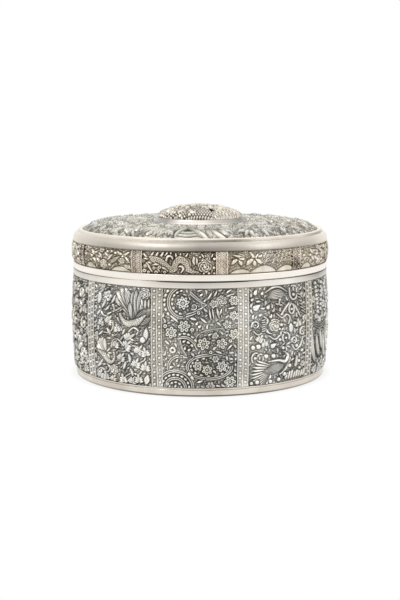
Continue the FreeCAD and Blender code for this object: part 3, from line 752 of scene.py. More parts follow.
def draw_dragon(relief, rng):
    """A dragon in loops among flames and curls, with a rose at the right."""
    at = relief.at
    for x, lean in ((13, 60), (20, 64), (27, 62), (33, 66), (39, 74)):
        blade(relief, *at(x, 76), 3.2, 1.9, lean, shape=TAPER, edge=0.8)
    for root, tip, width in (
            ((48, 70), (47, 97), 1.6), ((53, 74), (53.5, 97), 1.5), ((60, 72), (64, 97), 1.6),
            ((43, 62), (43, 86), 1.3)):
        leaf(relief, root, tip, width, -10, TAPER, edge=0.8)
    strand(relief, [(34, 55), (36, 76), (41, 78), (43, 68)], [1.3, 1.6, 1.3, 0.9], LIFT)
    strand(relief, [(61, 72), (65, 58), (66, 42), (64, 34)], [0.7, 1.4, 1.4, 0.6], 1.0, lines=2)
    strand(relief, [(8, 66), (20, 60), (30, 44), (39, 22), (45, 26), (48, 50), (53, 63), (59, 52),
                    (62, 28), (68, 14), (77, 10)], [2.2, 3.8, 3.8, 3.4, 3.4, 3.8, 4.2, 3.8, 3.2, 2.2, 0.8],
                    0.86, scales=1.35, edge=0.35)
    cleared(relief, (53.5, 26), 1.7, 3.0)
    strand(relief, [(51, 34), (55, 36), (57, 24), (54, 8)], [0.6, 1.3, 1.5, 0.8], LIFT)
    leaf(relief, (71.5, 38), (71, 82), 2.6, 6, lift=1.0, edge=0.9)
    leaf(relief, (75, 40), (74.5, 76), 1.6, 8, lift=0.9, edge=0.9)
    for root, tip, width in (((1.5, 92), (9, 62), 1.5), ((1, 68), (10, 63), 1.2), ((6, 53), (15, 46), 1.4)):
        leaf(relief, root, tip, width, 10, edge=0.8)
    for points in (
            [(15, 38), (20, 42), (26, 36)], [(4, 40), (7, 44), (10, 30), (14, 10)],
            [(2, 24), (5, 16), (2, 6)], [(15, 32), (18, 22), (23, 24), (24, 10)],
            [(26, 30), (31, 26), (36, 14)], [(28, 14), (33, 8)]):
        strand(relief, points, [0.7] + [1.4] * (len(points) - 2) + [0.9], 1.05)
    for x, y, r in (
            (5, 33, 1.0), (3, 12, 1.2), (17.5, 25, 1.0), (25, 30, 1.0), (32, 9, 1.0), (9, 6, 1.0),
            (20, 7, 1.2)):
        ring_bead(relief, *at(x, y), r)
    rose(relief, *at(88, 70), 2.3, 40)
    rose(relief, *at(85.5, 38), 3.7, 10)
    strand(relief, [(92, 46), (95, 30), (94.5, 2)], 0.7, 0.9)
    leaf(relief, (80.5, 94), (85, 70), 1.2, 8, edge=0.8)
    leaf(relief, (97, 94), (93, 72), 1.1, -8, edge=0.8)
    for x, y, r in (
            (98, 68, 1.0), (97.5, 30, 0.95), (98, 5, 0.9), (91, 5, 0.95), (84, 5, 0.8), (79, 76, 0.8)):
        bead(relief, *at(x, y), r)
    fill(relief, rng, ((0.8, 500), (0.55, 900), (0.42, 900)))


def draw_lilies(relief, rng):
    """Pointed leaves and fine curls above smooth rocks."""
    at = relief.at
    for across, width, height in ((18, 12.5, 2.6), (52, 17.0, 4.0), (90, 14.0, 3.3)):
        rock(relief, across, width, height)
    for root, tip, width, bend in (
            ((39, 50), (30, 97), 1.5, 6), ((37, 55), (43, 90), 1.3, -12), ((26, 60), (14, 90), 1.5, 15),
            ((27, 62), (5, 84), 1.3, 10), ((36, 64), (25, 34), 2.0, 50), ((38, 62), (47, 36), 2.0, -50),
            ((36, 60), (37, 30), 1.8, 0), ((14, 66), (4, 40), 1.8, 40), ((14, 64), (18, 34), 1.8, -40),
            ((14, 68), (24, 66), 1.3, 25), ((41, 70), (49, 82), 1.2, 25)):
        leaf(relief, root, tip, 1.3 * width, bend, lift=LIFT + 0.25, rib=0.35, edge=0.7)
    for row in range(3):
        for n in range(9):
            turn = 47 * n + 90 * row
            scroll(relief, *at(51 + 6 * n + 2.4 * (row % 2), 91 - 20 * row + 3 * (n % 2)), 1.2, turn,
                   1 if (n + row) % 3 else -1)
    fill(relief, rng, ((0.8, 300), (0.55, 900), (0.42, 900)))


def draw_garden(relief, rng):
    """Crossing leaves, fruit and fine foliage above rocks."""
    at = relief.at
    for across, width, height in ((80, 14.0, 2.8), (17, 10.0, 3.2)):
        rock(relief, across, width, height)
    leaf(relief, (72, 94), (91, 66), 1.5, 10, rib=0.4, edge=0.8)
    leaf(relief, (98, 92), (81, 60), 1.7, -8, rib=0.4, edge=0.8)
    leaf(relief, (88, 70), (98, 38), 1.3, -30, edge=0.8)
    leaf(relief, (80, 66), (63, 32), 2.4, 8, lines=4)
    leaf(relief, (68, 74), (58, 42), 1.7, 20, rib=0.4, edge=0.8)
    for n in range(4):
        leaf(relief, (89 + 2.4 * n, 34), (93 + 2.0 * n, 12), 0.9, 10)
    blossom(relief, *at(85, 48), 1.7, 10, 6)
    rose(relief, *at(50, 26), 2.6)
    for root, tip in (
            ((42, 30), (36, 52)), ((34, 28), (28, 52)), ((47, 50), (40, 78)), ((30, 60), (24, 86)),
            ((60, 60), (52, 82))):
        leaf(relief, root, tip, 1.5, 15, edge=0.8)
    for x, y, r in (
            (42, 57, 0.9), (24, 57, 0.9), (58, 84, 0.9), (66, 86, 0.9), (73, 80, 1.0), (34, 74, 0.8),
            (62, 26, 0.9), (8, 60, 0.9)):
        bead(relief, *at(x, y), r)
    blossom(relief, *at(47, 88), 1.6, 0, 5)
    fill(relief, rng, ((1.1, 60), (0.7, 700), (0.5, 1200), (0.38, 1500)))


WALL_DRAWINGS = (draw_prunus, draw_scrolls, draw_swags, draw_phoenix, draw_leaf_scrolls,
                 draw_prunus, draw_phoenix, draw_scrolls, draw_leaf_scrolls, draw_phoenix)
# Painted shade of each panel and strip beside its relief, from the front one round; under 1 lightens
WALL_PAINTED_SHADE = (0.98, 1.0, 1.27, 1.0, 0.95, 0.95, 1.05, 1.05, 1.6, 1.08)
STRIP_PAINTED_SHADE = (1.0, 0.8, 1.25, 1.2, 1.1, 1.0, 1.1, 1.2, 1.25, 1.25)
LID_PAINTED_SHADE = (0.98, 0.8, 0.85, 0.9, 0.85, 0.95, 0.9, 0.88, 0.95, 0.9)
LID_DRAWINGS = (draw_dragon, draw_lilies, draw_garden, draw_dragon, draw_lilies,
                draw_garden, draw_dragon, draw_lilies, draw_garden, draw_garden)


# The leaves that stand on the solid of the lid's top: how far out, how many, and which way they lean
TOP_SHARES = ((0.84, 30), (0.55, 24), (0.26, 18))
TOP_RINGS = [(SEAT_RADIUS + (TOP_RADIUS - SEAT_RADIUS) * share, count) for share, count in TOP_SHARES]
TOP_LEAF = 8.5
TOP_LEAN = 40


def draw_top(relief, rng):
    """The lid's top: rings of leaves that lean either way, and a pavilion roof with ridges at the front."""
    centre = relief.field / 2
    ray = lambda degrees: np.array([math.cos(math.radians(degrees)), math.sin(math.radians(degrees))])
    for out, count in ((66, 40), (56.5, 30), (45.5, 26), (34, 18)):
        for n in range(count):
            bearing = 360 * (n + rng.uniform(-0.3, 0.3)) / count
            x, y = centre + (out + rng.uniform(-1.5, 1.5)) * ray(bearing)
            lean = bearing + rng.uniform(-120, 120)
            if rng.uniform() < 0.5:
                lobed_leaf(relief, x, y, 5.0, lean, 7, 1.2)
            else:
                for spread in (-46, -16, 16, 46):
                    blade(relief, x, y, 5.6, 1.5, lean + spread, spread / 2, LEAF, 1.2, rib=0.5, edge=0.6)
    for out, count in TOP_RINGS:
        for n in range(count):
            bearing = math.degrees(FRONT) + 360 * n / count
            lean = bearing + (TOP_LEAN if n % 2 else -TOP_LEAN)
            x, y = centre + out * ray(bearing) - TOP_LEAF / 2 * ray(lean)
            pick = rng.uniform()
            bend = rng.uniform(-50, 50)
            if pick < 0.35:
                lobed_leaf(relief, x, y, TOP_LEAF, lean, 7, 1.75)
            elif pick < 0.7:
                blade(relief, x, y, TOP_LEAF, 4.0, lean - bend / 2, bend, LEAF, 1.8, rib=0.8, veins=0.7,
                      edge=0.6)
            else:
                for spread in (-26, 26, 0):
                    blade(relief, x, y, TOP_LEAF, 2.2, lean + spread, spread, LEAF, 1.7, rib=0.6, edge=0.6)
    spot = lambda x, out: 100 * (centre + (x, -math.sqrt(out * out - x * x))) / relief.field
    cleared(relief, spot(-6.5, 60), 8.0, 9.0)
    for out, half in ((61.5, 3.9), (64.4, 5.6), (67.0, 6.9)):
        strand(relief, [spot(-6.5 - half, out - 0.5), spot(-6.5, out + 0.3), spot(-6.5 + half, out - 0.5)],
               1.3, 1.1)
    for side in (-1, 1):
        strand(relief, [spot(-6.5, 46), spot(-6.5 + side * 1.6, 54), spot(-6.5 + side * 6.8, 65.4)],
               [1.4, 1.7, 1.3], 1.7)
    # smooth ridges to its right, with a leaf between them, and fine ones to its left
    strand(relief, [spot(-4.5, 48), spot(-2.2, 55), spot(0.6, 61.5), spot(3.4, 67)], [2.0, 3.0, 3.4, 3.2],
           0.8)
    strand(relief, [spot(5.5, 53), spot(7.9, 59.5), spot(10.4, 64), spot(12.8, 67)], [2.0, 3.6, 4.0, 3.6],
           0.75)
    blade(relief, *(centre + (3.2, -55)), 12.0, 3.4, -74, 0, LEAF, 1.3, rib=0.6, veins=0.7, edge=0.7)
    for n in range(6):
        strand(relief, [spot(-13.5 - 2.0 * n, 54 - n), spot(-17.5 - 2.2 * n, 60 - n),
                        spot(-23 - 2.4 * n, 66 - 1.4 * n)], [0.7, 1.2, 0.8], 1.3)
    fill(relief, rng, ((1.9, 1500), (1.3, 3000), (0.9, 4000), (0.6, 4000)), 0.4, 0.1, 0.1)


def draw_boss(relief, rng):
    """The boss from above: dashes at the front, leaves at the left and behind, hatching at the right."""
    u, v = np.meshgrid(relief.x - relief.field[0] / 2, relief.y - relief.field[1] / 2)
    wide, deep = 1.6, 1.9
    row = np.floor(v / deep)
    across = ((u / wide + 0.5 * (row % 2)) % 1 - 0.5) * wide
    along = (v / deep % 1 - 0.5) * deep
    lean = np.where(row % 2 > 0, 0.35, -0.35) * along
    dash = dome(1 - np.hypot((across - lean) / (0.44 * wide), along / (0.48 * deep)))
    weave = np.cos((0.8 * u + 0.6 * v) * 3.0 + 1.2 * np.sin(0.9 * v))
    hatch = 0.5 + 0.5 * weave * np.cos((0.7 * v - 0.5 * u) * 1.6)
    right = ramp(u, 5.0, 10.0)
    relief.h[:] = 0.9 * dash * (1 - right) + (0.35 + 0.5 * hatch) * right
    tries = 230
    for x, y, turn, pick in zip(rng.uniform(-24, 24, tries), rng.uniform(-22, 24, tries),
                                rng.uniform(0, 360, tries), rng.uniform(0, 1, tries)):
        if math.hypot(x, y) > 23.5 or (x > -6 and y < -12) or x > 11:
            continue
        px, py = x + relief.field[0] / 2, y + relief.field[1] / 2
        if pick < 0.75:
            blade(relief, px, py, 5.4, 2.7, turn, 50 if turn > 180 else -50, lift=rng.uniform(0.8, 1.55),
                  rib=0.5, edge=0.9)
        else:
            bead(relief, px, py, 1.1, 1.15)


# Meshes

def make_mesh(name, points, faces, uvs, tarnish_and_shade):
    """A smooth mesh from points in millimetres, with a texture map and a value of tarnish and painted shade
    for each point.
    """
    mesh = bpy.data.meshes.new(name)
    corners = np.concatenate([np.asarray(f).ravel() for f in faces])
    sizes = np.concatenate([np.full(len(f), np.asarray(f).shape[1]) for f in faces])
    mesh.vertices.add(len(points))
    mesh.vertices.foreach_set("co", (np.asarray(points) * MM).astype(np.float32).ravel())
    mesh.loops.add(len(corners))
    mesh.loops.foreach_set("vertex_index", corners.astype(np.int32))
    mesh.polygons.add(len(sizes))
    mesh.polygons.foreach_set("loop_start", np.concatenate([[0], np.cumsum(sizes)[:-1]]).astype(np.int32))
    mesh.polygons.foreach_set("use_smooth", np.ones(len(sizes), bool))
    mesh.update(calc_edges=True)
    layer = mesh.uv_layers.new(name="OFBake")
    places = np.concatenate([np.asarray(u, float).reshape(-1, 2) for u in uvs])
    layer.uv.foreach_set("vector", places.astype(np.float32).ravel())
    shade = mesh.attributes.new("tarnish_and_shade", "FLOAT", "POINT")
    shade.data.foreach_set("value", np.asarray(tarnish_and_shade, np.float32))
    mesh.validate()
    piece = bpy.data.objects.new(name, mesh)
    bpy.context.collection.objects.link(piece)
    return piece


def full_turn(segments):
    """Angles all the way round, each once."""
    return np.linspace(0, 2 * math.pi, segments, endpoint=False)


def cell_uvs(u, v, du, dv):
    """The texture corners of cells, from the first corner and the size of each."""
    corners = [np.stack(corner, -1) for corner in ((u, v), (u + du, v), (u + du, v + dv), (u, v + dv))]
    return np.stack(corners, 2).reshape(-1, 4, 2)


def grid_faces(rows, columns, first=0, flip=False):
    """Quads over a grid of points that are numbered row by row."""
    j, i = np.meshgrid(np.arange(rows - 1), np.arange(columns - 1), indexing="ij")
    a = first + j * columns + i
    quads = np.stack([a, a + 1, a + columns + 1, a + columns], -1).reshape(-1, 4)
    return quads[:, ::-1] if flip else quads


def grid_uvs(rows, columns, u0, u1, v0, v1, flip=False):
    """The texture corners of the quads of grid_faces."""
    j, i = np.meshgrid(np.arange(rows - 1), np.arange(columns - 1), indexing="ij")
    u, v = u0 + (u1 - u0) * i / (columns - 1), v0 + (v1 - v0) * j / (rows - 1)
    du, dv = (u1 - u0) / (columns - 1), (v1 - v0) / (rows - 1)
    corners = cell_uvs(u, v, du, dv)
    return corners[:, ::-1] if flip else corners


BACK_COLUMNS = 13
BACK_TARNISH = 0.3
BACK_EDGE = 0.2


def plate(name, front, back, tarnish_and_shade):
    """A closed plate from a grid of front points and a grid of back points with as many rows."""
    rows, columns = front.shape[:2]
    backs = back.shape[1]
    first = rows * columns
    row = np.arange(rows - 1)
    left = np.stack([row * columns, (row + 1) * columns, first + (row + 1) * backs, first + row * backs],
                    -1)
    right_f, right_b = columns - 1, first + backs - 1
    right = np.stack([row * columns + right_f, row * backs + right_b, (row + 1) * backs + right_b,
                      (row + 1) * columns + right_f], -1)
    top = np.concatenate([(rows - 1) * columns + np.arange(columns),
                          first + (rows - 1) * backs + np.arange(backs)[::-1]])
    bottom = np.concatenate([np.arange(columns)[::-1], first + np.arange(backs)])
    faces = [grid_faces(rows, columns), grid_faces(rows, backs, first, True), left, right, top[None],
             bottom[None]]
    edge = lambda a, b: grid_uvs(rows, 2, a, b, 0.03, 1.0)
    rim = lambda count, v, way: np.stack([np.linspace(0, 0.9, count)[::way], np.full(count, v)], -1)
    uvs = [grid_uvs(rows, columns, 0, 0.9, 0.03, 1.0), grid_uvs(rows, backs, 0.91, 0.95, 0.03, 1.0, True),
           edge(0.96, 0.97), edge(0.98, 0.99),
           np.concatenate([rim(columns, 0.016, 1), rim(backs, 0.026, -1)]),
           np.concatenate([rim(columns, 0.002, -1), rim(backs, 0.012, 1)])]
    points = np.concatenate([front.reshape(-1, 3), back.reshape(-1, 3)])
    shade = np.concatenate([tarnish_and_shade.ravel(), np.full(rows * backs, BACK_TARNISH)])
    return make_mesh(name, points, faces, uvs, shade)


def wrapped(angle, radius, z):
    """Points from cylinder places in millimetres."""
    angle, radius, z = np.broadcast_arrays(angle, radius, z)
    return np.stack([radius * np.cos(angle), radius * np.sin(angle), z], -1)


def swell(y, height, bulge):
    """How far a swollen wall stands out at height y above its lower edge."""
    return bulge * (1 - (2 * y / height - 1) ** 2)


def wrap_relief(name, relief, middle, low, bulge, sink, back_radius, painted_shade=1.0):
    """A relief wrapped round the wall about a bearing."""
    y = relief.y[:, None]
    out = WALL_RADIUS + swell(y, relief.field[1], bulge)
    turn = (relief.x - relief.field[0] / 2)[None, :] / WALL_RADIUS
    front = wrapped(middle + turn, out - sink + relief.h, low + y)
    edge = BACK_EDGE / WALL_RADIUS
    back_turn = np.linspace(turn.min() + edge, turn.max() - edge, BACK_COLUMNS - 2)
    back_turn = np.concatenate([[turn.min()], back_turn, [turn.max()]])[None, :]
    back = wrapped(middle + back_turn, back_radius + swell(y, relief.field[1], bulge), low + y)
    # painted shade along the upper and lower edges, where each panel and strip meets the bands and the
    # moulding
    rim = 0.7 * (1 - ramp(np.minimum(y, relief.field[1] - y), 0.1, 0.9))
    # the panel's painted shade scales and shifts the relief's patina and painted shade
    shade = np.maximum(relief.tarnish_and_shade() * painted_shade + 0.25 * (painted_shade - 1), rim)
    return plate(name, front, back, np.clip(shade, 0, 1))


def turned(name, profile, shade, segments=512, wobble=0.0, seed=0):
    """A ring turned about the axis from a closed outline of (radius, z), anticlockwise in half section.

    Shade gives the tarnish and painted shade at a radius, a z and a bearing in degrees from the front."""
    outline = np.array(profile, float)
    angle = full_turn(segments)
    rng = np.random.default_rng(seed)
    wave = sum(np.cos(k * angle + rng.uniform(0, 6.28)) / k for k in range(2, 9)) * wobble
    radius = outline[None, :, 0] + wave[:, None]
    points = wrapped(angle[:, None], radius, outline[None, :, 1])
    count = len(outline)
    i, k = np.meshgrid(np.arange(segments), np.arange(count), indexing="ij")
    nexts, after = (i + 1) % segments, (k + 1) % count
    quads = np.stack([i * count + k, nexts * count + k, nexts * count + after, i * count + after], -1)
    u, v = i / segments, k / count
    uvs = cell_uvs(u, v, 1 / segments, 1 / count)
    bearing = (np.degrees(angle - FRONT) + 180) % 360 - 180
    stain_and_shade = shade(outline[None, :, 0], outline[None, :, 1], bearing[:, None])
    tarnish_and_shade = np.clip(stain_and_shade + np.zeros((segments, count)), 0, 1)
    return make_mesh(name, points.reshape(-1, 3), [quads.reshape(-1, 4)], [uvs], tarnish_and_shade.ravel())


def rounded(points, radii, cuts=6):
    """An outline with its corners rounded by the given radii."""
    p = np.array(points, float)
    made = []
    for n, r in enumerate(radii):
        a, b, c = p[n - 1], p[n], p[(n + 1) % len(p)]
        if r == 0:
            made.append(b)
            continue
        to_a, to_c = (a - b) / np.linalg.norm(a - b), (c - b) / np.linalg.norm(c - b)
        for t in np.linspace(0, 1, cuts):
            made.append(b + r * ((1 - t) ** 2 * to_a + t**2 * to_c))
    return made


def finish_piece(piece, body, node, material):
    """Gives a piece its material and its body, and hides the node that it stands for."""
    piece.data.materials.append(material)
    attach(piece, body)
    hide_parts(node)
    return piece


# Materials

def new_material(name):
    """A new material with its nodes, its links and its shader."""
    material = bpy.data.materials.new(name)
    material.use_nodes = True
    nodes, links = material.node_tree.nodes, material.node_tree.links
    return material, nodes, links, nodes["Principled BSDF"]


def node(nodes, kind, **settings):
    """A new node with values for its sockets and settings."""
    made = nodes.new(kind)
    for key, value in settings.items():
        if key in made.inputs:
            made.inputs[key].default_value = value
        else:
            setattr(made, key, value)
    return made


def noise(nodes, links, place, scale, detail, roughness=0.5):
    """The value of a noise over a place."""
    made = node(nodes, "ShaderNodeTexNoise", Scale=scale, Detail=detail, Roughness=roughness)
    links.new(place, made.inputs["Vector"])
    return made.outputs["Fac"]


def maths(nodes, links, operation, first, second, **settings):
    """Two values joined by an operation."""
    made = node(nodes, "ShaderNodeMath", operation=operation, **settings)
    links.new(first, made.inputs[0])
    links.new(second, made.inputs[1])
    return made.outputs["Value"]


def map_range(nodes, links, value, start, end, low=0.0, high=1.0, **settings):
    """A value taken from one range to another."""
    made = node(nodes, "ShaderNodeMapRange", **settings)
    for socket, number in (("From Min", start), ("From Max", end), ("To Min", low), ("To Max", high)):
        made.inputs[socket].default_value = number
    links.new(value, made.inputs["Value"])
    return made.outputs["Result"]


def colour_ramp(nodes, links, value, stops):
    """The colour at a value, from stops of (place, colour), the two ends first."""
    made = node(nodes, "ShaderNodeValToRGB")
    elements = made.color_ramp.elements
    for n, (place, colour) in enumerate(stops):
        element = elements[n] if n < 2 else elements.new(place)
        element.position = place
        element.color = (*colour, 1)
    links.new(value, made.inputs["Fac"])
    return made.outputs["Color"]


def bumped(nodes, links, shader, height, strength, distance):
    """Roughens a shader's surface by a height."""
    bump = node(nodes, "ShaderNodeBump", Strength=strength, Distance=distance)
    links.new(height, bump.inputs["Height"])
    links.new(bump.outputs["Normal"], shader.inputs["Normal"])


COOL_TINT = (0.985, 0.995, 1.0)
WARM_TINT = (1.0, 0.978, 0.925)
# The dark colour that stands for tarnish and for painted shade
STAIN_AND_SHADE_COLOUR = (0.045, 0.034, 0.024, 1)


def chased_silver(name, stops, rough=(0.26, 0.55), mottle=0.25, graze=0.6, patches=0.1):
    """Silver that is dark where the value of tarnish and painted shade is high and worn bright where it is
    low.
    """
    material, nodes, links, shader = new_material(name)
    place = node(nodes, "ShaderNodeTexCoord").outputs["Object"]
    tarnish_and_shade = node(nodes, "ShaderNodeAttribute", attribute_name="tarnish_and_shade").outputs["Fac"]
    blotch = noise(nodes, links, place, 160.0, 4.0, 0.6)
    blotch = map_range(nodes, links, blotch, 0.3, 0.7, -mottle / 2, mottle / 2)
    wear = noise(nodes, links, place, 48.0, 3.0, 0.55)
    wear = map_range(nodes, links, wear, 0.3, 0.7, -patches, patches)
    uneven = maths(nodes, links, "ADD", blotch, wear)
    total = maths(nodes, links, "ADD", tarnish_and_shade, uneven, use_clamp=True)
    hue = noise(nodes, links, place, 62.0, 2.0)
    tint = colour_ramp(nodes, links, hue, ((0.36, COOL_TINT), (0.64, WARM_TINT)))
    tinted = node(nodes, "ShaderNodeMix", data_type="RGBA", blend_type="MULTIPLY", Factor=1.0)
    links.new(colour_ramp(nodes, links, total, stops), tinted.inputs["A"])
    links.new(tint, tinted.inputs["B"])
    links.new(tinted.outputs["Result"], shader.inputs["Base Color"])
    links.new(map_range(nodes, links, total, 0.0, 1.0, *rough), shader.inputs["Roughness"])
    shader.inputs["Metallic"].default_value = 1.0
    shader.inputs["Specular Tint"].default_value = (graze, 0.97 * graze, 0.92 * graze, 1)
    bumped(nodes, links, shader, noise(nodes, links, place, 2600.0, 2.0), 0.12, 0.0002)
    return material


def plain_silver(name, light, dull, rough=(0.16, 0.34)):
    """Turned silver: fine lines round the axis, soft scratches, and darkening by the value of tarnish and
    painted shade, which on the rings is mostly painted shade.
    """
    material, nodes, links, shader = new_material(name)
    place = node(nodes, "ShaderNodeTexCoord").outputs["Object"]
    stretch = node(nodes, "ShaderNodeMapping", Scale=(12, 12, 2200))
    links.new(place, stretch.inputs["Vector"])
    lines = noise(nodes, links, stretch.outputs["Vector"], 1.0, 3.0, 0.6)
    mixed = node(nodes, "ShaderNodeMath", operation="MULTIPLY_ADD")
    mixed.inputs[1].default_value = 0.45
    links.new(lines, mixed.inputs[0])
    links.new(noise(nodes, links, place, 55.0, 5.0, 0.62), mixed.inputs[2])
    mixed = mixed.outputs["Value"]
    tarnish_and_shade = node(nodes, "ShaderNodeAttribute", attribute_name="tarnish_and_shade")
    stained_and_shaded = node(nodes, "ShaderNodeMix", data_type="RGBA")
    stained_and_shaded.inputs["B"].default_value = STAIN_AND_SHADE_COLOUR
    links.new(tarnish_and_shade.outputs["Fac"], stained_and_shaded.inputs["Factor"])
    links.new(colour_ramp(nodes, links, mixed, ((0.45, light), (0.95, dull))), stained_and_shaded.inputs["A"])
    links.new(stained_and_shaded.outputs["Result"], shader.inputs["Base Color"])
    links.new(map_range(nodes, links, mixed, 0.35, 1.0, *rough), shader.inputs["Roughness"])
    shader.inputs["Metallic"].default_value = 1.0
    bumped(nodes, links, shader, lines, 0.06, 0.0001)
    return material


WALL_SILVER = chased_silver("wall_silver",
                            ((0.0, (0.95, 0.93, 0.885)), (1.0, (0.095, 0.092, 0.086)),
                             (0.45, (0.46, 0.447, 0.418))), graze=0.35, patches=0.14)
LID_SILVER = chased_silver("lid_silver",
                           ((0.0, (0.90, 0.845, 0.76)), (1.0, (0.062, 0.048, 0.034)),
                            (0.45, (0.44, 0.385, 0.305))), graze=0.5)
BOSS_SILVER = chased_silver("boss_silver",
                            ((0.0, (0.92, 0.88, 0.815)), (1.0, (0.02, 0.017, 0.014)),
                             (0.4, (0.45, 0.42, 0.375)), (0.75, (0.17, 0.15, 0.125))))
TOP_SILVER = chased_silver("top_silver",
                           ((0.0, (0.78, 0.76, 0.71)), (1.0, (0.13, 0.127, 0.115)),
                            (0.45, (0.51, 0.495, 0.45))))
STRIP_SILVER = chased_silver("strip_silver",
                             ((0.0, (0.98, 0.955, 0.905)), (1.0, (0.28, 0.265, 0.24)),
                              (0.45, (0.68, 0.655, 0.61))), graze=0.4)
LID_STRIP_SILVER = chased_silver("lid_strip_silver",
                                 ((0.0, (1.0, 0.95, 0.87)), (1.0, (0.11, 0.085, 0.062)),
                                  (0.45, (0.62, 0.545, 0.465))), mottle=0.6)
BAND_SILVER = plain_silver("band_silver", (0.975, 0.936, 0.87), (0.92, 0.865, 0.785))
SHOULDER_SILVER = plain_silver("shoulder_silver", (0.93, 0.875, 0.79), (0.84, 0.77, 0.67), (0.38, 0.52))
FOOT_SILVER = plain_silver("foot_silver", (0.84, 0.785, 0.705), (0.60, 0.54, 0.465))
BASE_SILVER = plain_silver("base_silver", (0.74, 0.73, 0.70), (0.55, 0.53, 0.49), (0.3, 0.5))


# Wall and lid panels

WALL_HEIGHT = MOUTH_LOW - FOOT_HIGH
LID_HEIGHT = SHOULDER_LOW - RIM_HIGH
PANEL_WIDTH = PANEL_TURN * WALL_RADIUS
FIELD_WIDTH = PANEL_WIDTH - STRIP_WIDTH


def panel_pieces():
    """The chased panels of the wall and of the lid's side."""
    for index in range(PANELS):
        number = f"{index + 1:02d}"
        for kind, drawings, height, low, bulge, sink, turn, body, material in (
                ("wall_panel_", WALL_DRAWINGS, WALL_HEIGHT, FOOT_HIGH, WALL_SWELL, WALL_SINK, 0, "box",
                 WALL_SILVER),
                ("lid_panel_", LID_DRAWINGS, LID_HEIGHT, RIM_HIGH, LID_SWELL, LID_SINK, LID_SET, "lid",
                 LID_SILVER)):
            relief = Relief(FIELD_WIDTH, height, STRIP_WIDTH / 2)
            rng = np.random.default_rng(100 * index + len(kind))
            underlay(relief, rng)
            relief.moat = WIDE_MOAT if body == "box" else LID_MOAT
            drawings[index](relief, rng)
            hammered(relief, rng)
            middle = FRONT + turn + index * PANEL_TURN
            painted_shade = (WALL_PAINTED_SHADE if body == "box" else LID_PAINTED_SHADE)[index]
            piece = wrap_relief("relief_" + kind + number, relief, middle, low, bulge, sink,
                                WALL_RADIUS - SHEET, painted_shade)
            finish_piece(piece, body, kind + number, material)


STRIP_GROUND = 0.3
WIRE = 0.7
WIRE_GROUND = 0.25
WIRE_RISE = 0.5
BEAD_PITCH = 3.45
COLUMN_SPREAD = 0.47


def strip_relief(height, wires, dotted):
    """A strip of wires with beads between them, or with four-lobed dots."""
    relief = Relief(STRIP_WIDTH, height, 0, 0.2)
    u, v = np.meshgrid(relief.x, relief.y)
    relief.h[:] = STRIP_GROUND
    for n in range(wires):
        centre = WIRE / 2 + (STRIP_WIDTH - WIRE) * n / (wires - 1)
        relief.h = np.maximum(relief.h, WIRE_GROUND + WIRE_RISE * dome(1 - np.abs(u - centre) / (WIRE / 2)))
    rng = np.random.default_rng(wires)
    rows = int(height / BEAD_PITCH) + 1
    for column in range(2):
        centre = STRIP_WIDTH * (0.5 + (column - 0.5) * COLUMN_SPREAD)
        for n in range(rows):
            y = (n + 0.5 + 0.35 * (column and not dotted)) * BEAD_PITCH * (height / BEAD_PITCH) / rows
            if dotted:
                for dx, dy in ((0.5, 0), (-0.5, 0), (0, 0.5), (0, -0.5)):
                    bead(relief, centre + dx, y + dy, 0.48, 0.95)
            else:
                bead(relief, centre + rng.uniform(-0.1, 0.1), y + rng.uniform(-0.2, 0.2),
                     rng.uniform(0.72, 0.92), rng.uniform(0.9, 1.3))
                for lean in (45, 135):
                    blade(relief, centre - 0.8 * math.cos(math.radians(lean)), y + 0.5 * BEAD_PITCH - 0.8,
                          2.0, 0.45, lean, 0, EVEN, 0.55)
    relief.h += 0.05 * rng.uniform(-1, 1, relief.h.shape)
    return relief


def strip_pieces():
    """The strips over the joints between the panels."""
    for index in range(PANELS):
        number = f"{index + 1:02d}"
        for kind, height, low, bulge, turn, body, wires in (
                ("wall_strip_", WALL_HEIGHT, FOOT_HIGH, WALL_SWELL, 0, "box", 3),
                ("lid_strip_", LID_HEIGHT, RIM_HIGH, LID_SWELL, LID_SET, "lid", 2)):
            relief = strip_relief(height, wires, wires == 2)
            middle = FRONT + turn + (index - 0.5) * PANEL_TURN
            piece = wrap_relief("relief_" + kind + number, relief, middle, low, bulge, 0, WALL_RADIUS,
                                STRIP_PAINTED_SHADE[index])
            finish_piece(piece, body, kind + number,
                         STRIP_SILVER if wires == 3 else LID_STRIP_SILVER)


def top_height(radius):
    """The level of the lid's top, without relief, at a distance from the axis."""
    chord = np.clip((TOP_RADIUS - radius) / (TOP_RADIUS - PLATEAU_RADIUS), 0, 1)
    slope = TOP_EDGE + (PLATEAU - TOP_EDGE) * chord + 1.3 * 4 * chord * (1 - chord)
    inward = np.clip((PLATEAU_RADIUS - radius) / (PLATEAU_RADIUS - SEAT_RADIUS), 0, 1)
    level = PLATEAU + (SEAT - PLATEAU) * inward
    return np.where(radius > PLATEAU_RADIUS, slope, level)


def polar_cap(name, radii, front_z, tarnish_and_shade, back, segments):
    """A closed ring from a polar grid of radii and heights; back lists the (radius, z) of its hidden side."""
    angle = full_turn(segments)
    front = wrapped(angle[None, :], radii, front_z)
    rear = np.array(back)
    hidden = wrapped(angle[None, :], rear[:, 0][:, None], rear[:, 1][:, None])
    points = np.concatenate([front, hidden])
    rows = len(points)
    j, i = np.meshgrid(np.arange(rows), np.arange(segments), indexing="ij")
    below, beside = (j + 1) % rows, (i + 1) % segments
    quads = np.stack([j * segments + i, j * segments + beside, below * segments + beside,
                      below * segments + i], -1)
    u, v = i / segments, j / rows
    uvs = cell_uvs(u, v, 1 / segments, 1 / rows)
    shade = np.concatenate([tarnish_and_shade.ravel(), np.full(len(rear) * segments, BACK_TARNISH)])
    return make_mesh(name, points.reshape(-1, 3), [quads.reshape(-1, 4)], [uvs], shade)


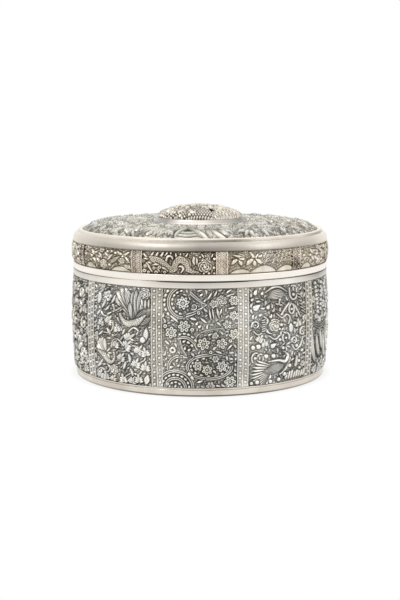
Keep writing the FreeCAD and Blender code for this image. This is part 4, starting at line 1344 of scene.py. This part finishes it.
def sampled(field, relief, x, y):
    """Values of a map between its cells."""
    i = np.clip((x - relief.x[0]) / relief.step, 0, len(relief.x) - 1.001)
    j = np.clip((y - relief.y[0]) / relief.step, 0, len(relief.y) - 1.001)
    i0, j0 = i.astype(int), j.astype(int)
    fi, fj = i - i0, j - j0
    return (field[j0, i0] * (1 - fi) * (1 - fj) + field[j0, i0 + 1] * fi * (1 - fj)
            + field[j0 + 1, i0] * (1 - fi) * fj + field[j0 + 1, i0 + 1] * fi * fj)


def lid_top_piece():
    """The lid's chased top, which slopes up to a level field."""
    relief = Relief(2 * TOP_RADIUS, 2 * TOP_RADIUS, 0, 0.25)
    rng = np.random.default_rng(71)
    underlay(relief, rng)
    draw_top(relief, rng)
    hammered(relief, rng)
    segments, rows = 960, 98
    radii = np.linspace(TOP_RADIUS, COLLAR_RADIUS - 1.0, rows)
    angle = full_turn(segments)
    x = TOP_RADIUS + radii[:, None] * np.cos(angle)[None, :]
    y = TOP_RADIUS + radii[:, None] * np.sin(angle)[None, :]
    fade = ramp(radii, COLLAR_RADIUS - 0.5, COLLAR_RADIUS + 0.6)
    fade = fade * (1 - ramp(radii, TOP_RADIUS - 0.7, TOP_RADIUS))
    h = sampled(relief.h, relief, x, y) * fade[:, None]
    z = top_height(radii)[:, None] - TOP_SINK * fade[:, None] + h
    tarnish_and_shade = sampled(relief.tarnish_and_shade(), relief, x, y)
    hidden = np.linspace(COLLAR_RADIUS - 1.0, TOP_RADIUS, 5)
    back = [(r, float(top_height(r)) - SHEET) for r in hidden]
    piece = polar_cap("relief_lid_top", radii[:, None], z, tarnish_and_shade, back, segments)
    finish_piece(piece, "lid", "lid_top", TOP_SILVER)


VENT_OUT_SHARE = 0.695
VENT_BEARING = math.radians(22.4)
VENT_RADIUS = 0.75
VENT_GRIME = 2.2
VENT_DEPTH = 0.75
CROWN = math.pi / 2 - 0.001


def boss_piece():
    """The boss: its relief on a dome, with a vent, painted shade inside it and the grime round it."""
    rise = BOSS_HIGH - BOSS_LOW
    segments, rows = 740, 124
    climb = np.linspace(0, CROWN, rows)
    radii, level = BOSS_RADIUS * np.cos(climb), BOSS_LOW + rise * np.sin(climb)
    angle = full_turn(segments)
    relief = Relief(2 * BOSS_RADIUS, 2 * BOSS_RADIUS, 0, 0.2)
    rng = np.random.default_rng(17)
    draw_boss(relief, rng)
    x, y = radii[:, None] * np.cos(angle), radii[:, None] * np.sin(angle)
    fade = ramp(climb, 0.0, 0.18)[:, None]
    h = sampled(relief.h, relief, x + BOSS_RADIUS, y + BOSS_RADIUS) * fade
    tarnish_and_shade = sampled(relief.tarnish_and_shade(), relief, x + BOSS_RADIUS, y + BOSS_RADIUS)
    bearing = FRONT + VENT_BEARING
    out = BOSS_RADIUS * VENT_OUT_SHARE
    ahead = x * math.cos(bearing) + y * math.sin(bearing) - out
    aside = y * math.cos(bearing) - x * math.sin(bearing)
    pit = 1 - ramp(np.hypot(ahead, aside), VENT_RADIUS * 0.8, VENT_RADIUS * 1.3)
    grime = 1 - ramp(np.hypot(ahead / VENT_GRIME, aside), VENT_RADIUS * 1.1, VENT_RADIUS * 1.6)
    h = (h - BOSS_SINK * fade) * (1 - pit) - VENT_DEPTH * pit
    lean = np.arctan2(BOSS_RADIUS * np.sin(climb), rise * np.cos(climb))
    front_r = radii[:, None] + h * np.cos(lean)[:, None]
    front_z = level[:, None] + h * np.sin(lean)[:, None]
    back = [((BOSS_RADIUS - BOSS_SHEET) * math.cos(a), BOSS_LOW + (rise - BOSS_SHEET) * math.sin(a))
            for a in np.linspace(CROWN, 0, 9)]
    # painted shade inside the vent hole, and the grime round it
    shade = np.clip(0.85 * tarnish_and_shade + 1.5 * np.maximum(pit, grime), 0, 1.4)
    piece = polar_cap("relief_boss", front_r, front_z, shade, back, segments)
    finish_piece(piece, "lid", "boss", BOSS_SILVER)


def band_outline(inner, outer, low, high):
    """The outline of a plain band with soft outer edges."""
    corner = 0.55
    return rounded([(inner, low), (outer, low), (outer, high), (inner, high)], [0.1, corner, corner, 0.1])


def by_bearing(*pairs):
    """A value that runs evenly between (degrees from the front, value) pairs, all the way round."""
    degrees, values = zip(*pairs)
    return lambda bearing: np.interp(bearing, degrees, values, period=360)


# Painted shade on the plain rings by bearing from the front, and the painted shadow of the box-lid seam
SEAM_WIDTH = 0.28
SEAM_FADE = 0.54
# Painted shadow in the seam between box and lid, thickest at the front
SEAM_SHADOW = by_bearing(
    (-100, 0.4), (-70, 0.45), (-40, 0.25), (-27, 0.03), (-13, 0.9), (0, 1.0), (12, 0.95), (26, 0.5),
    (60, 0.55), (90, 0.4), (180, 0.6))
# Painted shade on the mouth band, left light where the bright reflection falls and darker elsewhere
MOUTH_PAINTED_SHADE = by_bearing(
    (-100, 0.3), (-61, 0.28), (-34, 0.0), (-26, 0.03), (-16, 0.2), (0, 0.32), (19, 0.2), (40, 0.05),
    (62, 0.55), (85, 0.4), (180, 0.3))
# Painted shade on the boss collar: a bright reflection left at the front, darker at the sides
COLLAR_PAINTED_SHADE = by_bearing(
    (-90, 0.5), (-70, 0.62), (-48, 0.6), (-36, 0.3), (-28, 0.04), (6, 0.05), (20, 0.35), (45, 0.55),
    (68, 0.8), (90, 0.75), (180, 0.3))
# Painted contact shadow under the foot, darkest at the front
FOOT_CONTACT_SHADOW = by_bearing(
    (-90, 0.15), (-50, 0.4), (-25, 0.75), (0, 0.85), (25, 0.8), (50, 0.45), (90, 0.2), (180, 0.5))
# Painted shade on the moulding: lighter at the sides where the reflections are bright, darkest at the front
SHOULDER_PAINTED_SHADE = by_bearing(
    (-90, 0.0), (-74, 0.04), (-58, 0.22), (-45, 0.3), (-28, 0.2), (-18, 0.28), (-9, 0.34), (0, 0.46),
    (9, 0.4), (19, 0.26), (28, 0.13), (39, 0.16), (53, 0.28), (68, 0.05), (90, 0.0), (180, 0.2))
# Painted shade in the groove between the bead and the quarter round
GROOVE_SHADOW = by_bearing(
    (-90, 0.1), (-40, 0.1), (-18, 0.35), (0, 0.6), (15, 0.7), (25, 0.35), (50, 0.15), (62, 0.5), (72, 0.55),
    (85, 0.1), (180, 0.4))
# How strong the painted shade on the lower part of the moulding is
SHOULDER_SHADE = by_bearing(
    (-90, 0.0), (-66, 0.1), (-45, 0.8), (0, 1.2), (45, 0.9), (66, 0.2), (90, 0.0), (180, 0.6))


def ring_pieces():
    """The plain bands, the lip and the moulding."""
    foot_radius = FOOT_TOP_RADIUS - FOOT_DRAFT
    foot_bore = foot_radius - FOOT_WIDTH
    line_z = FOOT_HIGH - FOOT_LINE
    foot = rounded([(foot_bore, FOOT_LOW), (foot_radius, FOOT_LOW), (foot_radius + 0.05, 0.8),
                    (foot_radius + 0.08, 1.1), (FOOT_TOP_RADIUS - 0.05, line_z - 0.25),
                    (FOOT_TOP_RADIUS - 0.3, line_z), (FOOT_TOP_RADIUS, line_z + 0.25),
                    (FOOT_TOP_RADIUS, FOOT_HIGH), (foot_bore, FOOT_HIGH)],
                    [0.1, 0.5, 0, 0, 0.1, 0, 0.1, 0.3, 0.1])
    lip = rounded([(LIP_RADIUS - LIP_THICKNESS, LIP_LOW), (LIP_RADIUS, LIP_LOW), (LIP_RADIUS, LIP_HIGH),
                   (LIP_RADIUS - LIP_THICKNESS, LIP_HIGH)], [0.1, 0.1, 0.3, 0.3])
    quarter_radius, quarter_high = BAND_RADIUS - QUARTER_SETBACK, SHOULDER_LOW + QUARTER_HEIGHT
    bead_radius, bead_low = quarter_radius - GROOVE_DEPTH / 2, quarter_high + GROOVE_WIDTH
    turn = np.linspace(0, math.pi / 2, 12)
    quarter = [(quarter_radius + QUARTER_SETBACK * math.cos(a),
                SHOULDER_LOW + QUARTER_HEIGHT * math.sin(a)) for a in turn]
    bead_turn = np.linspace(0, math.pi, 12)
    bead_middle, bead_half = (bead_radius + TOP_RADIUS) / 2, (bead_radius - TOP_RADIUS) / 2
    bead_rise = SHOULDER_HIGH - bead_low + 0.4
    roll = [(bead_middle + bead_half * math.cos(a), bead_low + bead_rise * math.sin(a)) for a in bead_turn]
    shoulder = [(WALL_RADIUS - SHEET, SHOULDER_LOW), (BAND_RADIUS, SHOULDER_LOW - 0.25)] + quarter[1:]
    shoulder += [(bead_radius, quarter_high)] + roll + [(TOP_RADIUS, TOP_LOW)]
    foot_of, top_of = np.array([COLLAR_RADIUS, SEAT]), np.array([BOSS_RADIUS, BOSS_LOW])
    run = top_of - foot_of
    inward = np.array([run[0], -run[1]])[::-1] / np.linalg.norm(run)
    cavetto = [tuple(foot_of + run * t - 4 * COLLAR_HOLLOW * t * (1 - t) * np.abs(inward))
               for t in np.linspace(0, 1, 14)]
    collar = [(BOSS_RADIUS - COLLAR_WALL, SEAT)] + cavetto + [(BOSS_RADIUS - COLLAR_WALL, BOSS_LOW)]
    # the seam's painted shadow on both bands
    seam_shade = lambda z, b: ramp(np.abs(z - SEAM), SEAM_FADE, SEAM_WIDTH) * SEAM_SHADOW(b)
    # the mouth band's painted shade grows darker just under the seam
    under_seam_shade = lambda z: 0.8 + 0.5 * ramp(z, SEAM - 1.6, SEAM - 0.3)
    mouth_shade = lambda r, z, b: seam_shade(z, b) + MOUTH_PAINTED_SHADE(b) * under_seam_shade(z)
    # painted shade on the rim band's top edge, against the bright reflection of its rounding
    rim_shade = lambda r, z, b: seam_shade(z, b) + 0.45 * ramp(z, RIM_HIGH - 0.5, RIM_HIGH)
    # painted contact shadow along the foot's lower edge, and painted shade in the notch under its upper wire
    foot_shade = lambda r, z, b: np.maximum(0.95 * ramp(z, 1.1, 0.75) * FOOT_CONTACT_SHADOW(b),
                                            0.7 * ramp(np.abs(z - line_z), 0.3, 0.0))
    # painted shade on the lower part of the quarter round and along its foot, where the moulding meets the
    # lid panels
    low_side = lambda z: (0.2 * ramp(z, quarter_high - 0.8, SHOULDER_LOW + 1.0)
                          + 0.3 * ramp(z, SHOULDER_LOW + 0.7, SHOULDER_LOW))
    quarter_low = lambda r, z: ramp(r, WALL_RADIUS - 2, WALL_RADIUS) * low_side(z)
    groove_shade = lambda r, b: GROOVE_SHADOW(b) * ramp(np.abs(r - bead_radius), 0.4, 0.1)
    shoulder_shade = lambda r, z, b: (SHOULDER_PAINTED_SHADE(b) * (r > bead_radius)
                                      + quarter_low(r, z) * SHOULDER_SHADE(b) + groove_shade(r, b))
    # painted shade by bearing, and darker at the collar's foot where it meets the top
    collar_shade = lambda r, z, b: COLLAR_PAINTED_SHADE(b) + 0.7 * ramp(z, SEAT + 0.5, SEAT)
    lip_shade = lambda r, z, b: 0.1 + 0 * z
    for node_name, body, outline, shade, material in (
            ("foot_band", "box", foot, foot_shade, FOOT_SILVER),
            ("mouth_band", "box", band_outline(LIP_RADIUS, BAND_RADIUS, MOUTH_LOW, SEAM), mouth_shade,
             BAND_SILVER),
            ("inner_lip", "box", lip, lip_shade, BAND_SILVER),
            ("lid_rim_band", "lid_rim",
             band_outline(LIP_RADIUS + LID_CLEARANCE, BAND_RADIUS, SEAM, RIM_HIGH), rim_shade, BAND_SILVER),
            ("shoulder_moulding", "lid", shoulder, shoulder_shade, SHOULDER_SILVER),
            ("boss_collar", "lid", collar, collar_shade, BAND_SILVER)):
        piece = turned("turned_" + node_name, outline, shade, wobble=0.01, seed=len(node_name))
        finish_piece(piece, body, node_name, material)


def base_piece():
    """The floor, slightly dished, with the marks of the hammer."""
    radii = np.linspace(BASE_RADIUS, 0.05, 60)
    segments = 256
    angle = full_turn(segments)
    rng = np.random.default_rng(9)
    x, y = radii[:, None] * np.cos(angle), radii[:, None] * np.sin(angle)
    dents = np.zeros(x.shape)
    for _ in range(160):
        r, a = BASE_RADIUS * 0.95 * math.sqrt(rng.uniform()), rng.uniform(0, 2 * math.pi)
        dents -= 0.08 * np.exp(-((x - r * math.cos(a)) ** 2 + (y - r * math.sin(a)) ** 2) / 3.5**2)
    top = BASE_HIGH + dents * (1 - ramp(radii, BASE_RADIUS - 2, BASE_RADIUS))[:, None]
    back = [(r, BASE_LOW) for r in (0.05, BASE_RADIUS / 2, BASE_RADIUS)]
    piece = polar_cap("hammered_base_plate", radii[:, None], top, np.full(x.shape, 0.3), back, segments)
    finish_piece(piece, "box", "base_plate", BASE_SILVER)


panel_pieces()
strip_pieces()
lid_top_piece()
boss_piece()
ring_pieces()
base_piece()


# Stage, light and camera

def see_white(nodes, links):
    """A value that is 1 where a camera, glossy or transmitted ray looks."""
    path = node(nodes, "ShaderNodeLightPath").outputs
    seen = maths(nodes, links, "MAXIMUM", path["Is Camera Ray"], path["Is Glossy Ray"])
    return maths(nodes, links, "MAXIMUM", seen, path["Is Transmission Ray"])


def make_floor():
    """A white floor, a little darker under the box."""
    mesh = bpy.data.meshes.new("floor")
    size = 4.0
    mesh.from_pydata([(-size, -size, 0), (size, -size, 0), (size, size, 0), (-size, size, 0)], [],
                     [(0, 1, 2, 3)])
    floor = bpy.data.objects.new("floor", mesh)
    bpy.context.collection.objects.link(floor)
    material, nodes, links, shader = new_material("floor_white")
    shader.inputs["Base Color"].default_value = (0.9, 0.9, 0.9, 1)
    shader.inputs["Roughness"].default_value = 0.8
    glow = node(nodes, "ShaderNodeEmission", Color=(1, 1, 1, 1), Strength=1.0)
    place = node(nodes, "ShaderNodeTexCoord")
    out = node(nodes, "ShaderNodeVectorMath", operation="LENGTH")
    links.new(place.outputs["Object"], out.inputs[0])
    near_box = BAND_RADIUS * MM
    far = map_range(nodes, links, out.outputs["Value"], near_box * 0.97, near_box * 1.05, 0.75, 1.0)
    share = maths(nodes, links, "MULTIPLY", see_white(nodes, links), far)
    mix = node(nodes, "ShaderNodeMixShader")
    links.new(share, mix.inputs["Fac"])
    links.new(shader.outputs["BSDF"], mix.inputs[1])
    links.new(glow.outputs["Emission"], mix.inputs[2])
    links.new(mix.outputs["Shader"], nodes["Material Output"].inputs["Surface"])
    mesh.materials.append(material)


SOFT_LEVEL = 0.5
ROOM_LEVEL = 0.84


def make_world():
    """White where rays look at it, dimmer in reflections of the low front, with a soft light of its own."""
    world = bpy.data.worlds.new("studio")
    bpy.context.scene.world = world
    world.use_nodes = True
    nodes, links = world.node_tree.nodes, world.node_tree.links
    soft = nodes["Background"]
    soft.inputs["Color"].default_value = (1, 1, 1, 1)
    soft.inputs["Strength"].default_value = SOFT_LEVEL
    white = node(nodes, "ShaderNodeBackground", Color=(1, 1, 1, 1), Strength=1.0)
    place = node(nodes, "ShaderNodeTexCoord")
    parts = node(nodes, "ShaderNodeSeparateXYZ")
    links.new(place.outputs["Generated"], parts.inputs["Vector"])
    front = map_range(nodes, links, parts.outputs["Y"], 0.15, -0.6, interpolation_type="SMOOTHSTEP")
    low = map_range(nodes, links, parts.outputs["Z"], 0.75, 0.25, interpolation_type="SMOOTHSTEP")
    room = maths(nodes, links, "MULTIPLY", front, low)
    dim = map_range(nodes, links, room, 0.0, 1.0, 1.0, ROOM_LEVEL)
    path = node(nodes, "ShaderNodeLightPath").outputs
    level = maths(nodes, links, "MAXIMUM", path["Is Camera Ray"], dim)
    links.new(level, white.inputs["Strength"])
    mix = node(nodes, "ShaderNodeMixShader")
    links.new(see_white(nodes, links), mix.inputs["Fac"])
    links.new(soft.outputs["Background"], mix.inputs[1])
    links.new(white.outputs["Background"], mix.inputs[2])
    links.new(mix.outputs["Shader"], nodes["World Output"].inputs["Surface"])


def soft_light(name, place, aim, size, power):
    """A round lamp that points at a place."""
    light = bpy.data.lights.new(name, "AREA")
    light.shape = "DISK"
    light.size = size
    light.energy = power
    lamp = bpy.data.objects.new(name, light)
    bpy.context.collection.objects.link(lamp)
    lamp.location = place
    lamp.rotation_euler = (Vector(aim) - Vector(place)).to_track_quat("-Z", "Y").to_euler()


def make_camera():
    """The photograph's view, fitted to the ellipses of the bands."""
    camera = bpy.data.cameras.new("camera")
    camera.sensor_width = 36.0
    camera.lens = 69.14
    holder = bpy.data.objects.new("camera", camera)
    bpy.context.collection.objects.link(holder)
    holder.location = (0.0, -0.6713, 0.1458)
    holder.rotation_euler = (math.radians(81.12), 0, 0)
    bpy.context.scene.camera = holder


make_floor()
make_world()
soft_light("key", (-0.55, -0.65, 0.75), (0, 0, 0.05), 0.5, 2.4)
soft_light("fill", (0.8, -0.5, 0.45), (0, 0, 0.05), 0.6, 0.9)
soft_light("top", (0.0, 0.5, 0.8), (0, 0, 0.08), 0.6, 0.7)
make_camera()
bpy.context.scene.view_settings.view_transform = "Standard"
